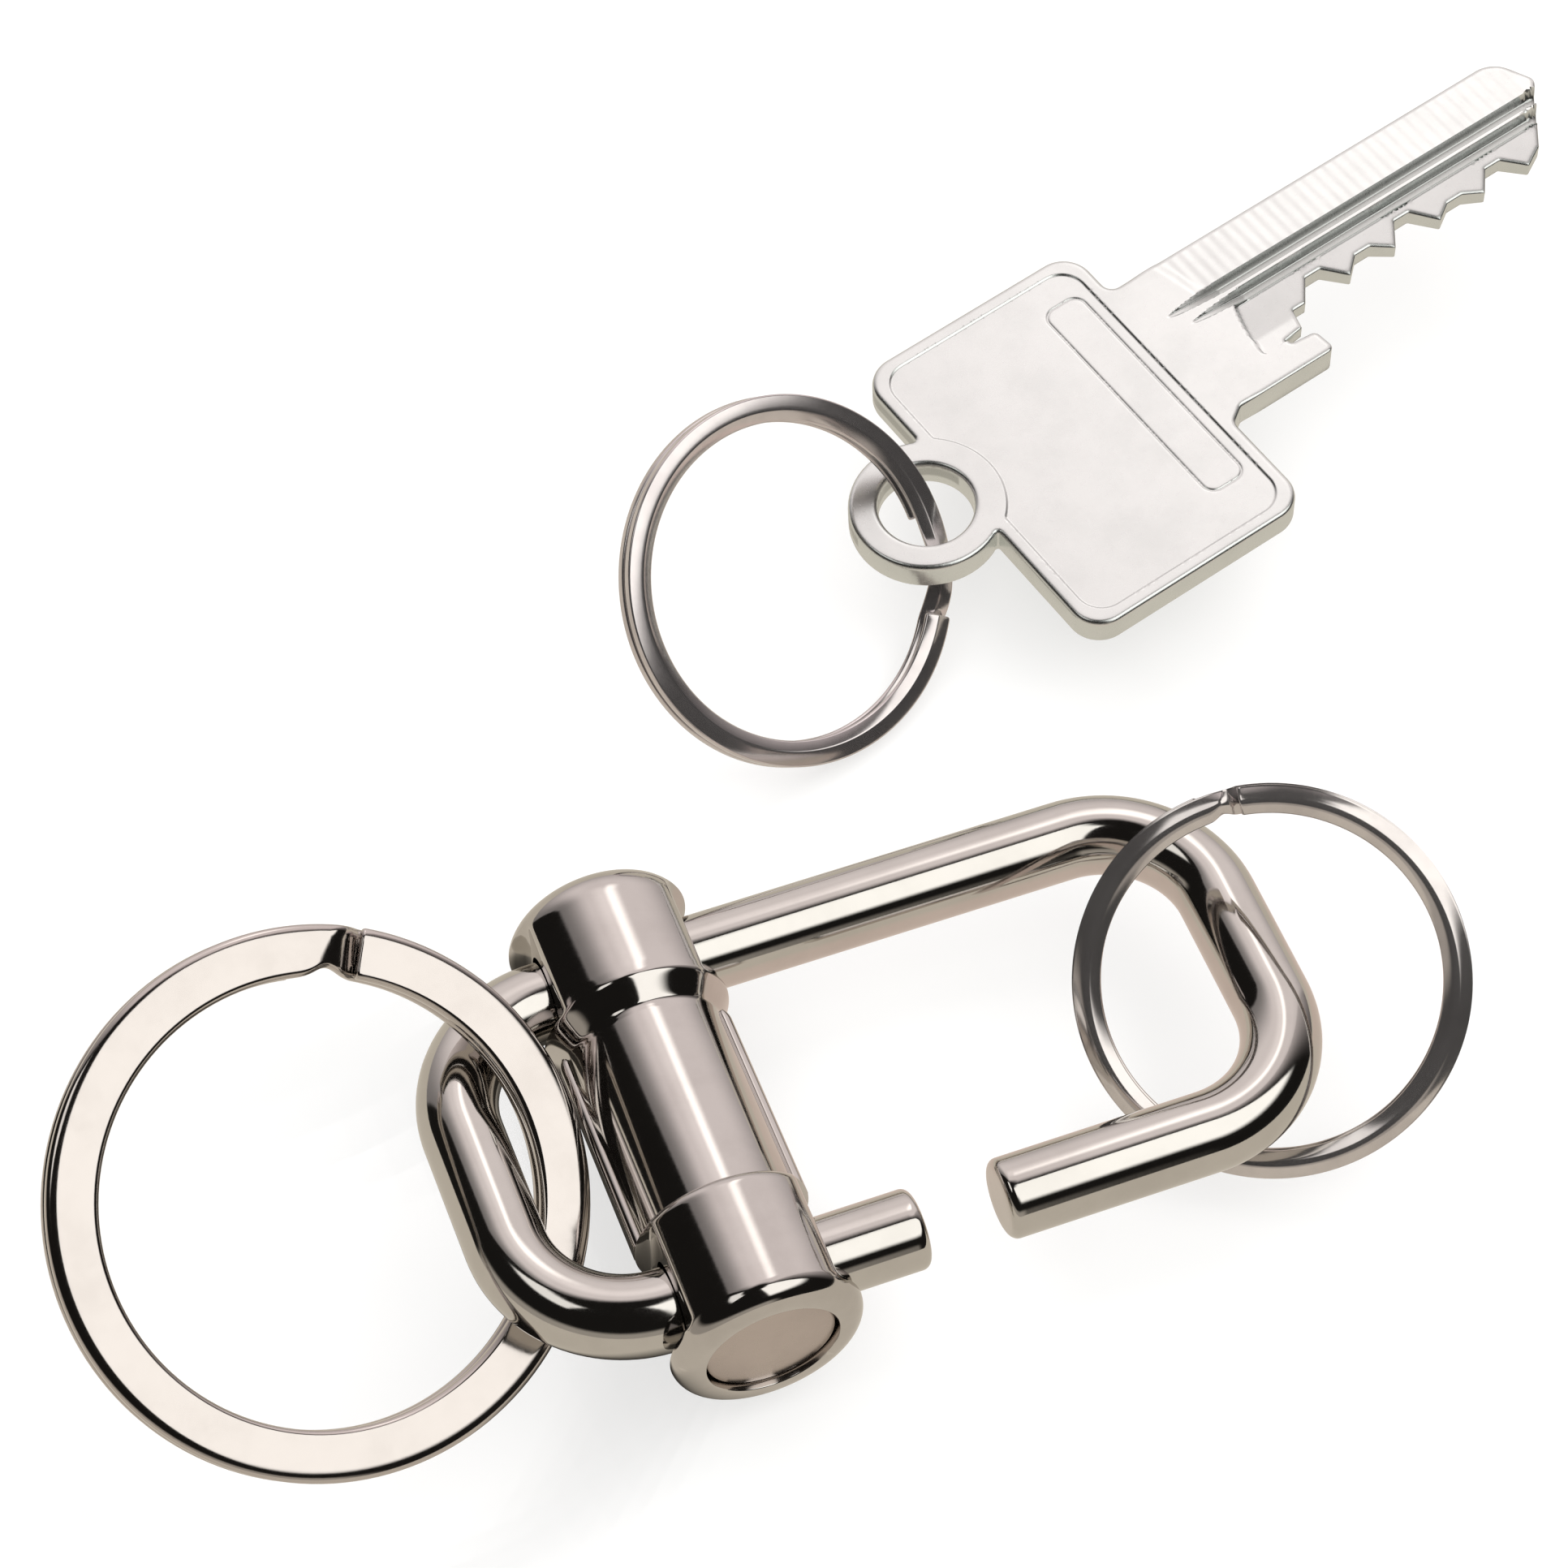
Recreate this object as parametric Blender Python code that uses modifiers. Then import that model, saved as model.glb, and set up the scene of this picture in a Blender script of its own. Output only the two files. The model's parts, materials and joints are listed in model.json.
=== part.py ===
"""Shackle key holder: a bent wire loop, a sliding barrel with a push button, three split rings and a key.

Millimetres are used for every size below and turned into metres by MM.  X runs along the shackle's legs,
Y along the barrel, with the button at -Y, and Z is up from the floor that the rings rest on.
"""
import math

import bmesh
import bpy
from mathutils import Matrix, Vector

MM = 0.001
CLEARANCE = 0.3

# The object is drawn with the shackle's middle at x = y = 0 and moved at the end, so that the origin is
# the middle of the whole footprint.
FOOTPRINT_MIDDLE = (10.66, 21.56, 0.22)

# Shackle wire: one round bar bent into an oblong with a gap in the near leg.
WIRE_RADIUS = 2.5
WIRE_HEIGHT = 8.0
WIRE_HALF_LENGTH = 24.63
WIRE_HALF_WIDTH = 11.38
BEND_RADIUS = 7.4
STUB_END_X = -1.4
FREE_END_X = 3.7
BEND_STEPS = 8

# Barrel: a turned sleeve across both legs, measured from its middle.
BARREL_X = -12.3
COLLAR_RADIUS = 6.0
WAIST_RADIUS = 4.95
BUTTON_END = -16.1
PLAIN_END = 16.5
BUTTON_END_ROUND = 1.4
PLAIN_END_ROUND = 2.4
NEAR_COLLAR_STEP = -7.2
NECK_BOTTOM = 6.2
NECK_TOP = 7.6
RIB_OUTER = 5.5
RIB_INNER = 4.3
RIB_HALF_HEIGHT = 1.0
CROSS_BORE_RADIUS = WIRE_RADIUS + CLEARANCE
SPOT_FACE_RADIUS = 3.9
SPOT_FACE_FLOOR = 4.45
BARREL_STEPS = 40

# Inside the barrel: button recess, long bore, plunger, spring.
RECESS_RADIUS = 4.25
RECESS_FLOOR = -13.9
BORE_RADIUS = 3.8
BORE_FLOOR = 7.9
PLUNGER_RADIUS = BORE_RADIUS - CLEARANCE
PLUNGER_BACK = -0.9
FORK_END = -14.65
FORK_BRIDGE = -6.4
FORK_SLOT_HALF = 2.8
TOOTH_RADIUS = 2.3
TOOTH_END = -WIRE_HALF_WIDTH + WIRE_RADIUS + CLEARANCE
GUIDE_RADIUS = 1.6
GUIDE_END = 2.0
CAP_RADIUS = 4.0
CAP_FACE = -15.75
CAP_BACK = FORK_END - CLEARANCE
SPRING_MEAN_RADIUS = 2.8
SPRING_WIRE_RADIUS = 0.35
SPRING_START = 0.65
SPRING_END = BORE_FLOOR - CLEARANCE - SPRING_WIRE_RADIUS
SPRING_TURNS = 5.5
SPRING_STEPS = 14

# Split rings: outer radius, width of the strip, thickness of both turns together, and the angle over
# which the strip crosses from one turn to the other.
BIG_RING = {"radius": 16.33, "width": 3.1, "thickness": 2.2, "crossover": 14, "step": 7.5}
SMALL_RING = {"radius": 12.13, "width": 1.75, "thickness": 1.7, "crossover": 10, "step": 9}
KEY_RING = {"radius": 12.13, "width": 1.75, "thickness": 1.7, "crossover": 32, "step": 9}
STRIP_CHAMFER = 0.3
TURN_GAP = 0.1
COIL_END_DEGREES = 1.5

# Where the rings lie: centre, normal of the ring, and the side on which the crossover is.
BIG_RING_POSE = ((-34.17, 1.4, 10.13), (0.15, -0.541, 0.827), (0.28, 0.78, 0.45))
SMALL_RING_POSE = ((24.71, -3.65, 9.39), (-0.341, -0.585, 0.736), (-0.01, 0.79, 0.62))
KEY_RING_POSE = ((8.2, 35.92, 9.27), (0.286, -0.646, 0.708), (0.94, 0.06, -0.33))
BIG_RING_PIVOT = (-20.0, 3.0, WIRE_HEIGHT)
SMALL_RING_PIVOT = (WIRE_HALF_LENGTH, 0.0, WIRE_HEIGHT)

# Key: X along the blade and Y across it, from the middle of the ear's hole, on the upper face.
KEY_HOLE_CENTRE = (19.02, 38.95, 9.11)
KEY_ALONG = (0.9647, 0.2524, 0.0756)
KEY_ACROSS = (-0.2563, 0.9654, 0.0473)
KEY_THICKNESS = 2.2
KEY_HOLE_RADIUS = 3.2
EAR_RADIUS = 5.18
BOW_LEFT = 2.5
BOW_RIGHT = 20.4
BOW_TOP = 11.15
BOW_BOTTOM = -14.8
BOW_CORNER = 2.4
BLADE_TOP = 6.7
BLADE_TIP = 55.5
SHOULDER_END = 29.9
SHOULDER_BOTTOM = -3.2
BLADE_ROOT_BOTTOM = -5.9
CUT_PEAK = -1.6
CUT_PITCH = 4.1
CUT_DEPTHS = (1.9, 0.8, 1.5, 0.5, 1.2)
GROOVE_DEPTH = 0.5
GROOVES = ((2.6, 1.1, 22.4, 54.2), (0.3, 1.0, 23.0, 52.0))


def clear_scene():
    for item in list(bpy.data.objects):
        bpy.data.objects.remove(item, do_unlink=True)


def new_collection(name):
    collection = bpy.data.collections.new(name)
    bpy.context.scene.collection.children.link(collection)
    return collection


def metal(name, colour, roughness):
    material = bpy.data.materials.new(name)
    material.use_nodes = True
    shader = material.node_tree.nodes["Principled BSDF"]
    shader.inputs["Base Color"].default_value = (*colour, 1.0)
    shader.inputs["Metallic"].default_value = 1.0
    shader.inputs["Roughness"].default_value = roughness
    return material


def link(item, collection, material=None):
    collection.objects.link(item)
    if material:
        item.data.materials.append(material)
    return item


def arc(cx, cy, radius, start, end, steps):
    """Points on a circle's arc, angles in degrees."""
    points = []
    for i in range(steps + 1):
        angle = math.radians(start + (end - start) * i / steps)
        points.append((cx + radius * math.cos(angle), cy + radius * math.sin(angle)))
    return points


def pose_matrix(centre, normal, side):
    """A frame with Z on the normal and X towards the side."""
    z_axis = Vector(normal).normalized()
    x_axis = Vector(side)
    x_axis = (x_axis - z_axis * x_axis.dot(z_axis)).normalized()
    y_axis = z_axis.cross(x_axis)
    rotation = Matrix((x_axis, y_axis, z_axis)).transposed().to_4x4()
    return Matrix.Translation(Vector(centre) * MM) @ rotation


def pivot(name, centre, collection, parent=None):
    """An empty on a joint's axis."""
    empty = bpy.data.objects.new(name, None)
    empty.empty_display_size = 5 * MM
    collection.objects.link(empty)
    empty.matrix_world = Matrix.Translation(Vector(centre) * MM)
    if parent:
        bpy.context.view_layer.update()
        empty.parent = parent
        empty.matrix_parent_inverse = parent.matrix_world.inverted()
    return empty


def attach(item, parent):
    """Parent an object and keep it where it stands."""
    bpy.context.view_layer.update()
    item.parent = parent
    item.matrix_parent_inverse = parent.matrix_world.inverted()


def apply_modifiers(item):
    bpy.context.view_layer.objects.active = item
    for modifier in list(item.modifiers):
        with bpy.context.temp_override(object=item, active_object=item):
            bpy.ops.object.modifier_apply(modifier=modifier.name)


def smooth(item, degrees=35):
    for polygon in item.data.polygons:
        polygon.use_smooth = True
    item.data.set_sharp_from_angle(angle=math.radians(degrees))


def cutter_box(name, low, high, collection):
    """A box between two corners in the target's own frame."""
    mesh = bpy.data.meshes.new(name)
    shape = bmesh.new()
    bmesh.ops.create_cube(shape, size=1.0)
    size = [(b - a) * MM for a, b in zip(low, high)]
    middle = [(a + b) / 2 * MM for a, b in zip(low, high)]
    bmesh.ops.scale(shape, vec=size, verts=shape.verts)
    bmesh.ops.translate(shape, vec=middle, verts=shape.verts)
    shape.to_mesh(mesh)
    shape.free()
    item = bpy.data.objects.new(name, mesh)
    return as_cutter(item, collection)


def cutter_rod(name, radius, start, end, collection, sides=40):
    """A cylinder between two points in the target's own frame."""
    start = Vector(start) * MM
    end = Vector(end) * MM
    turn = (end - start).to_track_quat("Z", "Y").to_matrix().to_4x4()
    place = Matrix.Translation((start + end) / 2) @ turn
    mesh = bpy.data.meshes.new(name)
    shape = bmesh.new()
    bmesh.ops.create_cone(
        shape, cap_ends=True, segments=sides, radius1=radius * MM, radius2=radius * MM,
        depth=(end - start).length, matrix=place,
    )
    shape.to_mesh(mesh)
    shape.free()
    item = bpy.data.objects.new(name, mesh)
    return as_cutter(item, collection)


def as_cutter(item, collection):
    collection.objects.link(item)
    item.hide_render = True
    item.display_type = "WIRE"
    return item


def combine(item, other, operation):
    """Boolean with a tool shape that is given in the item's own frame."""
    other.matrix_world = item.matrix_world
    modifier = item.modifiers.new(other.name, "BOOLEAN")
    modifier.operation = operation
    modifier.solver = "EXACT"
    modifier.object = other


def turned(name, profile, steps, collection, material):
    """A solid of revolution about local Z; the profile runs down the outer side from the top."""
    mesh = bpy.data.meshes.new(name)
    shape = bmesh.new()
    corners = [shape.verts.new((r * MM, 0.0, z * MM)) for r, z in profile]
    for first, second in zip(corners, corners[1:]):
        shape.edges.new((first, second))
    shape.to_mesh(mesh)
    shape.free()
    item = link(bpy.data.objects.new(name, mesh), collection, material)
    screw = item.modifiers.new("turn", "SCREW")
    screw.axis = "Z"
    screw.angle = math.radians(360)
    screw.steps = steps
    screw.render_steps = steps
    screw.use_merge_vertices = True
    screw.merge_threshold = 0.00001
    return item


def poly_curve(name, points, collection, material, closed=False):
    """A 3-D poly line as a curve object."""
    data = bpy.data.curves.new(name, "CURVE")
    data.dimensions = "3D"
    spline = data.splines.new("POLY")
    spline.points.add(len(points) - 1)
    for target, point in zip(spline.points, points):
        target.co = (point[0] * MM, point[1] * MM, point[2] * MM, 1.0)
    spline.use_cyclic_u = closed
    return link(bpy.data.objects.new(name, data), collection, material)


def round_bar(item, radius, resolution):
    item.data.bevel_depth = radius * MM
    item.data.bevel_resolution = resolution
    item.data.use_fill_caps = True


def build_shackle_wire(collection):
    inner_x = WIRE_HALF_LENGTH - BEND_RADIUS
    inner_y = WIRE_HALF_WIDTH - BEND_RADIUS
    path = [(STUB_END_X, -WIRE_HALF_WIDTH)]
    corners = ((-1, -1, 270), (-1, 1, 180), (1, 1, 90), (1, -1, 0))
    for sign_x, sign_y, start in corners:
        path += arc(sign_x * inner_x, sign_y * inner_y, BEND_RADIUS, start, start - 90, BEND_STEPS)
    path.append((FREE_END_X, -WIRE_HALF_WIDTH))
    points = [(x, y, 0.0) for x, y in path]
    item = poly_curve("shackle_wire", points, collection, metal("wire_nickel", (0.55, 0.52, 0.48), 0.16))
    round_bar(item, WIRE_RADIUS, 6)
    item.location = (0, 0, WIRE_HEIGHT * MM)
    return item


def barrel_profile():
    profile = [(0, PLAIN_END)]
    profile += arc(COLLAR_RADIUS - PLAIN_END_ROUND, PLAIN_END - PLAIN_END_ROUND, PLAIN_END_ROUND, 90, 0, 6)
    profile += [(COLLAR_RADIUS, NECK_TOP + 0.3), (COLLAR_RADIUS - 0.15, NECK_TOP)]
    profile += [(WAIST_RADIUS + 0.15, NECK_BOTTOM + 0.4), (WAIST_RADIUS, NECK_BOTTOM)]
    profile += [(WAIST_RADIUS, NEAR_COLLAR_STEP)]
    profile += arc(COLLAR_RADIUS - 0.6, NEAR_COLLAR_STEP - 0.6, 0.6, 80, 0, 3)
    low = BUTTON_END + BUTTON_END_ROUND
    profile += arc(COLLAR_RADIUS - BUTTON_END_ROUND, low, BUTTON_END_ROUND, 0, -90, 5)
    profile += [(RECESS_RADIUS, BUTTON_END), (RECESS_RADIUS, RECESS_FLOOR)]
    profile += [(BORE_RADIUS, RECESS_FLOOR), (BORE_RADIUS, BORE_FLOOR), (0, BORE_FLOOR)]
    return profile


def build_barrel_body(collection, tools):
    material = metal("barrel_black_nickel", (0.30, 0.285, 0.27), 0.12)
    item = turned("barrel_body", barrel_profile(), BARREL_STEPS, collection, material)
    for side in (-1, 1):
        low, high = sorted((side * RIB_INNER, side * RIB_OUTER))
        rib = cutter_box(
            "rib_tool", (low, -RIB_HALF_HEIGHT, NEAR_COLLAR_STEP - 0.5), (high, RIB_HALF_HEIGHT, NECK_TOP),
            tools,
        )
        combine(item, rib, "UNION")
        for middle in (-WIRE_HALF_WIDTH, WIRE_HALF_WIDTH):
            spot = cutter_rod(
                "spot_face_tool", SPOT_FACE_RADIUS,
                (side * SPOT_FACE_FLOOR, 0, middle), (side * (COLLAR_RADIUS + 2), 0, middle), tools,
            )
            combine(item, spot, "DIFFERENCE")
    for middle in (-WIRE_HALF_WIDTH, WIRE_HALF_WIDTH):
        bore = cutter_rod(
            "cross_bore_tool", CROSS_BORE_RADIUS,
            (-COLLAR_RADIUS - 2, 0, middle), (COLLAR_RADIUS + 2, 0, middle), tools,
        )
        combine(item, bore, "DIFFERENCE")
    return item


def build_lock_plunger(collection, tools):
    material = metal("plunger_steel", (0.62, 0.61, 0.59), 0.32)
    profile = [(0, GUIDE_END), (GUIDE_RADIUS - 0.3, GUIDE_END), (GUIDE_RADIUS, GUIDE_END - 0.3)]
    profile += [(GUIDE_RADIUS, PLUNGER_BACK), (PLUNGER_RADIUS - 0.3, PLUNGER_BACK)]
    profile += [(PLUNGER_RADIUS, PLUNGER_BACK - 0.3), (PLUNGER_RADIUS, FORK_END), (0, FORK_END)]
    item = turned("lock_plunger", profile, 40, collection, material)
    wide = PLUNGER_RADIUS + 2
    slot = cutter_box(
        "fork_slot_tool", (-wide, -FORK_SLOT_HALF, FORK_END - 2), (wide, FORK_SLOT_HALF, FORK_BRIDGE), tools,
    )
    combine(item, slot, "DIFFERENCE")
    tooth = cutter_rod("tooth_tool", TOOTH_RADIUS, (0, 0, TOOTH_END), (0, 0, FORK_BRIDGE + 1), tools, 28)
    combine(item, tooth, "UNION")
    return item


def build_button_cap(collection):
    profile = [(0, CAP_BACK), (CAP_RADIUS, CAP_BACK), (CAP_RADIUS, CAP_FACE + 0.2)]
    profile += [(CAP_RADIUS - 0.2, CAP_FACE), (0, CAP_FACE)]
    return turned("button_cap", profile, 40, collection, metal("cap_satin_nickel", (0.42, 0.40, 0.38), 0.3))


def build_return_spring(collection):
    points = []
    count = int(SPRING_TURNS * SPRING_STEPS)
    for i in range(count + 1):
        angle = 2 * math.pi * i / SPRING_STEPS
        height = SPRING_START + (SPRING_END - SPRING_START) * i / count
        points.append((SPRING_MEAN_RADIUS * math.cos(angle), SPRING_MEAN_RADIUS * math.sin(angle), height))
    item = poly_curve("return_spring", points, collection, metal("spring_wire", (0.5, 0.49, 0.47), 0.3))
    round_bar(item, SPRING_WIRE_RADIUS, 2)
    return item


def strip_section(width, height, chamfer, tools, name):
    """The eight-cornered section of a split ring's strip, as a closed curve."""
    x = width / 2
    y = height / 2
    corners = [(x - chamfer, -y), (-x + chamfer, -y), (-x, -y + chamfer), (-x, y - chamfer)]
    corners += [(-x + chamfer, y), (x - chamfer, y), (x, y - chamfer), (x, -y + chamfer)]
    section = poly_curve(name + "_section", [(a, b, 0) for a, b in corners], tools, None, closed=True)
    section.hide_render = True
    return section


def split_ring(name, size, pose, collection, tools, material):
    """Two stacked turns of one strip, joined by a crossover on the ring's local +X side."""
    height = (size["thickness"] - TURN_GAP) / 2
    rise = height + TURN_GAP
    radius = size["radius"] - size["width"] / 2
    crossover = size["crossover"]
    start = crossover / 2 + COIL_END_DEGREES
    total = 720 - crossover - 2 * COIL_END_DEGREES
    cross_start = 360 - crossover - COIL_END_DEGREES
    count = round(total / size["step"])
    points = []
    for i in range(count + 1):
        swept = total * i / count
        part = min(max((swept - cross_start) / crossover, 0.0), 1.0)
        level = part * part * (3 - 2 * part) - 0.5
        angle = math.radians(start + swept)
        points.append((radius * math.cos(angle), radius * math.sin(angle), rise * level))
    item = poly_curve(name, points, collection, material)
    item.data.twist_mode = "Z_UP"
    item.data.bevel_mode = "OBJECT"
    item.data.bevel_object = strip_section(size["width"], height, STRIP_CHAMFER, tools, name)
    item.data.use_fill_caps = True
    item.matrix_world = pose_matrix(*pose)
    return item


def rounded_corner(corner, radius, start, steps=5):
    """A convex quarter round whose arc starts at the given angle and turns clockwise."""
    turn = math.radians(start - 45)
    cx = corner[0] - radius * math.sqrt(2) * math.cos(turn)
    cy = corner[1] - radius * math.sqrt(2) * math.sin(turn)
    return arc(cx, cy, radius, start, start - 90, steps)


def key_outline():
    """The outline clockwise, from the ear's upper end."""
    ear_angle = math.degrees(math.acos(BOW_LEFT / EAR_RADIUS))
    outline = arc(0, 0, EAR_RADIUS, 360 - ear_angle, ear_angle, 20)
    outline += rounded_corner((BOW_LEFT, BOW_TOP), BOW_CORNER, 180)
    outline += rounded_corner((BOW_RIGHT, BOW_TOP), BOW_CORNER, 90)
    outline += [(BOW_RIGHT, BLADE_TOP), (BLADE_TIP - 1.4, BLADE_TOP), (BLADE_TIP, BLADE_TOP - 3.0)]
    outline += [(BLADE_TIP - 5.2, CUT_PEAK)]
    right = BLADE_TIP - 5.2
    for i, depth in enumerate(CUT_DEPTHS):
        middle = right - CUT_PITCH * (i + 0.5)
        outline += [(middle + 0.6, CUT_PEAK + depth), (middle - 0.6, CUT_PEAK + depth)]
        outline += [(middle - CUT_PITCH / 2, CUT_PEAK)]
    outline += [(SHOULDER_END, CUT_PEAK), (SHOULDER_END, SHOULDER_BOTTOM), (BOW_RIGHT + 3, SHOULDER_BOTTOM)]
    outline += [(BOW_RIGHT + 1.5, BLADE_ROOT_BOTTOM), (BOW_RIGHT, BLADE_ROOT_BOTTOM)]
    outline += rounded_corner((BOW_RIGHT, BOW_BOTTOM), BOW_CORNER, 0)
    outline += rounded_corner((BOW_LEFT, BOW_BOTTOM), BOW_CORNER, 270)
    return outline


def build_key(collection, tools):
    data = bpy.data.curves.new("key_outline", "CURVE")
    data.dimensions = "2D"
    data.fill_mode = "BOTH"
    data.extrude = KEY_THICKNESS / 2 * MM
    outline = key_outline()
    spline = data.splines.new("POLY")
    spline.points.add(len(outline) - 1)
    for target, point in zip(spline.points, outline):
        target.co = (point[0] * MM, point[1] * MM, 0.0, 1.0)
    spline.use_cyclic_u = True
    blank = bpy.data.objects.new("key_outline", data)
    tools.objects.link(blank)
    bpy.context.view_layer.update()
    mesh = bpy.data.meshes.new_from_object(blank)
    shape = bmesh.new()
    shape.from_mesh(mesh)
    bmesh.ops.remove_doubles(shape, verts=shape.verts, dist=0.000001)
    bmesh.ops.recalc_face_normals(shape, faces=shape.faces)
    bmesh.ops.translate(shape, vec=(0, 0, -KEY_THICKNESS / 2 * MM), verts=shape.verts)
    shape.to_mesh(mesh)
    shape.free()
    bpy.data.objects.remove(blank, do_unlink=True)
    mesh.name = "key"
    item = link(bpy.data.objects.new("key", mesh), collection, metal("key_nickel", (0.78, 0.76, 0.72), 0.2))
    hole = cutter_rod("key_hole_tool", KEY_HOLE_RADIUS, (0, 0, -KEY_THICKNESS - 2), (0, 0, 2), tools)
    combine(item, hole, "DIFFERENCE")
    for middle, width, left, right in GROOVES:
        groove = cutter_box(
            "key_groove_tool", (left, middle - width / 2, -GROOVE_DEPTH), (right, middle + width / 2, 1), tools,
        )
        combine(item, groove, "DIFFERENCE")
    return item


def key_matrix():
    along = Vector(KEY_ALONG).normalized()
    normal = along.cross(Vector(KEY_ACROSS)).normalized()
    return pose_matrix(KEY_HOLE_CENTRE, normal, along)


def finish_solid(item, matrix):
    """Place a boolean solid, apply its tools there and shade it."""
    item.matrix_world = matrix
    bpy.context.view_layer.update()
    for modifier in item.modifiers:
        if modifier.type == "BOOLEAN":
            modifier.object.matrix_world = matrix
    bpy.context.view_layer.update()
    apply_modifiers(item)
    smooth(item)


def main():
    clear_scene()
    holder = new_collection("shackle_key_holder")
    tools = new_collection("cutters")
    tools.hide_render = True
    steel = metal("ring_steel", (0.50, 0.48, 0.45), 0.18)
    flat_steel = metal("flat_ring_steel", (0.74, 0.71, 0.66), 0.2)

    assembly = pivot("assembly", (0, 0, 0), holder)
    wire = build_shackle_wire(holder)
    attach(wire, assembly)
    lying = Matrix.Translation(Vector((BARREL_X, 0, WIRE_HEIGHT)) * MM) @ Matrix.Rotation(-math.pi / 2, 4, "X")
    barrel = build_barrel_body(holder, tools)
    plunger = build_lock_plunger(holder, tools)
    cap = build_button_cap(holder)
    for item in (barrel, plunger, cap):
        finish_solid(item, lying)
    spring = build_return_spring(holder)
    spring.matrix_world = lying
    attach(barrel, wire)
    attach(plunger, barrel)
    attach(cap, plunger)
    attach(spring, barrel)

    big = split_ring("big_split_ring", BIG_RING, BIG_RING_POSE, holder, tools, flat_steel)
    attach(big, pivot("big_ring_pivot", BIG_RING_PIVOT, holder, wire))
    small = split_ring("small_split_ring", SMALL_RING, SMALL_RING_POSE, holder, tools, steel)
    attach(small, pivot("small_ring_pivot", SMALL_RING_PIVOT, holder, wire))
    loose = split_ring("key_split_ring", KEY_RING, KEY_RING_POSE, holder, tools, steel)
    attach(loose, wire)
    key = build_key(holder, tools)
    finish_solid(key, key_matrix())
    attach(key, loose)
    for item in list(tools.objects):
        if item.type == "MESH":
            bpy.data.objects.remove(item, do_unlink=True)
    assembly.location = -Vector(FOOTPRINT_MIDDLE) * MM


main()
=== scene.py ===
"""The look of the shackle key holder: polished skins, rings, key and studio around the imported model."""
import json
import math

import bmesh
import bpy
import numpy as np
from mathutils import Matrix, Vector
from mathutils.geometry import delaunay_2d_cdt


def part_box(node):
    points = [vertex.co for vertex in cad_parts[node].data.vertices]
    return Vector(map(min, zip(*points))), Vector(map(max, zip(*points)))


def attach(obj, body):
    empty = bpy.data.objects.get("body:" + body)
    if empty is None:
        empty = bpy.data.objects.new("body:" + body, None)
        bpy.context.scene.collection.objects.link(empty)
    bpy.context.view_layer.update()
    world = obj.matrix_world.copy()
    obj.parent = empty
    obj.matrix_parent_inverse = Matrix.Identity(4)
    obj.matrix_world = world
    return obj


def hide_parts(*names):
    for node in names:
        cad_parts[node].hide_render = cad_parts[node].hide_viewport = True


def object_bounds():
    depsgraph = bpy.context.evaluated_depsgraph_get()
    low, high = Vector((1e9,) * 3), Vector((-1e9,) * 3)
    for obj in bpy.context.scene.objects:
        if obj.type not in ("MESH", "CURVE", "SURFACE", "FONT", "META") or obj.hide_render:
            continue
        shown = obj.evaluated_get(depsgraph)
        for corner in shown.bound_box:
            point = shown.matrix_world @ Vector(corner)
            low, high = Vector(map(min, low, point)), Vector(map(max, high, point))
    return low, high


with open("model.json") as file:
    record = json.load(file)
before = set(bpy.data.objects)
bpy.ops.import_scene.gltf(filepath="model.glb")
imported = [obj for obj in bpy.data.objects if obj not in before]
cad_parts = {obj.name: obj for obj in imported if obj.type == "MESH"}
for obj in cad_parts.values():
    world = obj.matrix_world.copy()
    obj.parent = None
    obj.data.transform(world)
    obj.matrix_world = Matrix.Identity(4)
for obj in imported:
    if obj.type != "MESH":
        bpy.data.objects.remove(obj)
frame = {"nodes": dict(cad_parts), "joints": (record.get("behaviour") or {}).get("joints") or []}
cad_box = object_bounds()

MM = 0.001

# Camera: degrees round the object from -Y, degrees above the floor, and its distance, lens, sensor width
# and target in millimetres. The target is measured from the shackle's middle.
CAMERA_AZIMUTH = -20.6
CAMERA_ELEVATION = 54.1
CAMERA_DISTANCE = 282.4
CAMERA_LENS = 102.48
CAMERA_SENSOR = 36.0
CAMERA_TARGET = (2.5, 21.64, 0.0)

# Shackle wire: X of its two ends, the round of their edges, and the mesh's step and sides.
WIRE_RADIUS = 2.5
BEND_RADIUS = 7.4
STUB_END = -1.4
FREE_END = 3.7
WIRE_EDGE = 0.55
WIRE_STEP = 0.9
WIRE_SIDES = 56

# Barrel: radii, places along Y from the shackle's middle, rounds, and the crease angle in degrees.
COLLAR_RADIUS = 5.99
WAIST_RADIUS = 4.95
BUTTON_END = -16.09
PLAIN_END = 16.49
BUTTON_END_ROUND = 1.4
PLAIN_END_ROUND = 2.4
STEP_Y = -7.2
STEP_ROUND = 0.75
NECK_LOW = 6.2
NECK_HIGH = 7.6
SOFT_EDGE = 0.12
BORE_RADIUS = 2.8
RECESS_RADIUS = 4.13
RECESS_FLOOR = -13.9
RECESS_ROUND = 0.1
LONG_BORE_RADIUS = 3.8
LONG_BORE_END = 7.9
BARREL_SHARP = 32

# Flats round the wire holes: distance from the barrel's axis, and the Y where each one begins, is full,
# ends being full and has run out.
FLAT_FACE_X = 4.5
FAR_FLAT = (NECK_HIGH + 0.1, NECK_HIGH + 0.5, 14.3, 15.1)
NEAR_FLAT = (-14.9, -14.2, STEP_Y - 0.35, STEP_Y - 0.05)

# Side ribs on the waist; the foot is X and Z of the hollow between rib and waist.
RIB_FACE_X = 5.48
RIB_HALF = 1.0
RIB_ROUND = 0.45
RIB_FOOT = ((4.93, 1.05), (4.88, 1.12), (4.84, 1.21))
RIB_END = NECK_LOW + 0.5
RIB_RUN_OUT = 0.9

# Radius of the smallest ring of points round an axis, which its flat cap closes.
AXIS_RADIUS = 0.001

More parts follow.
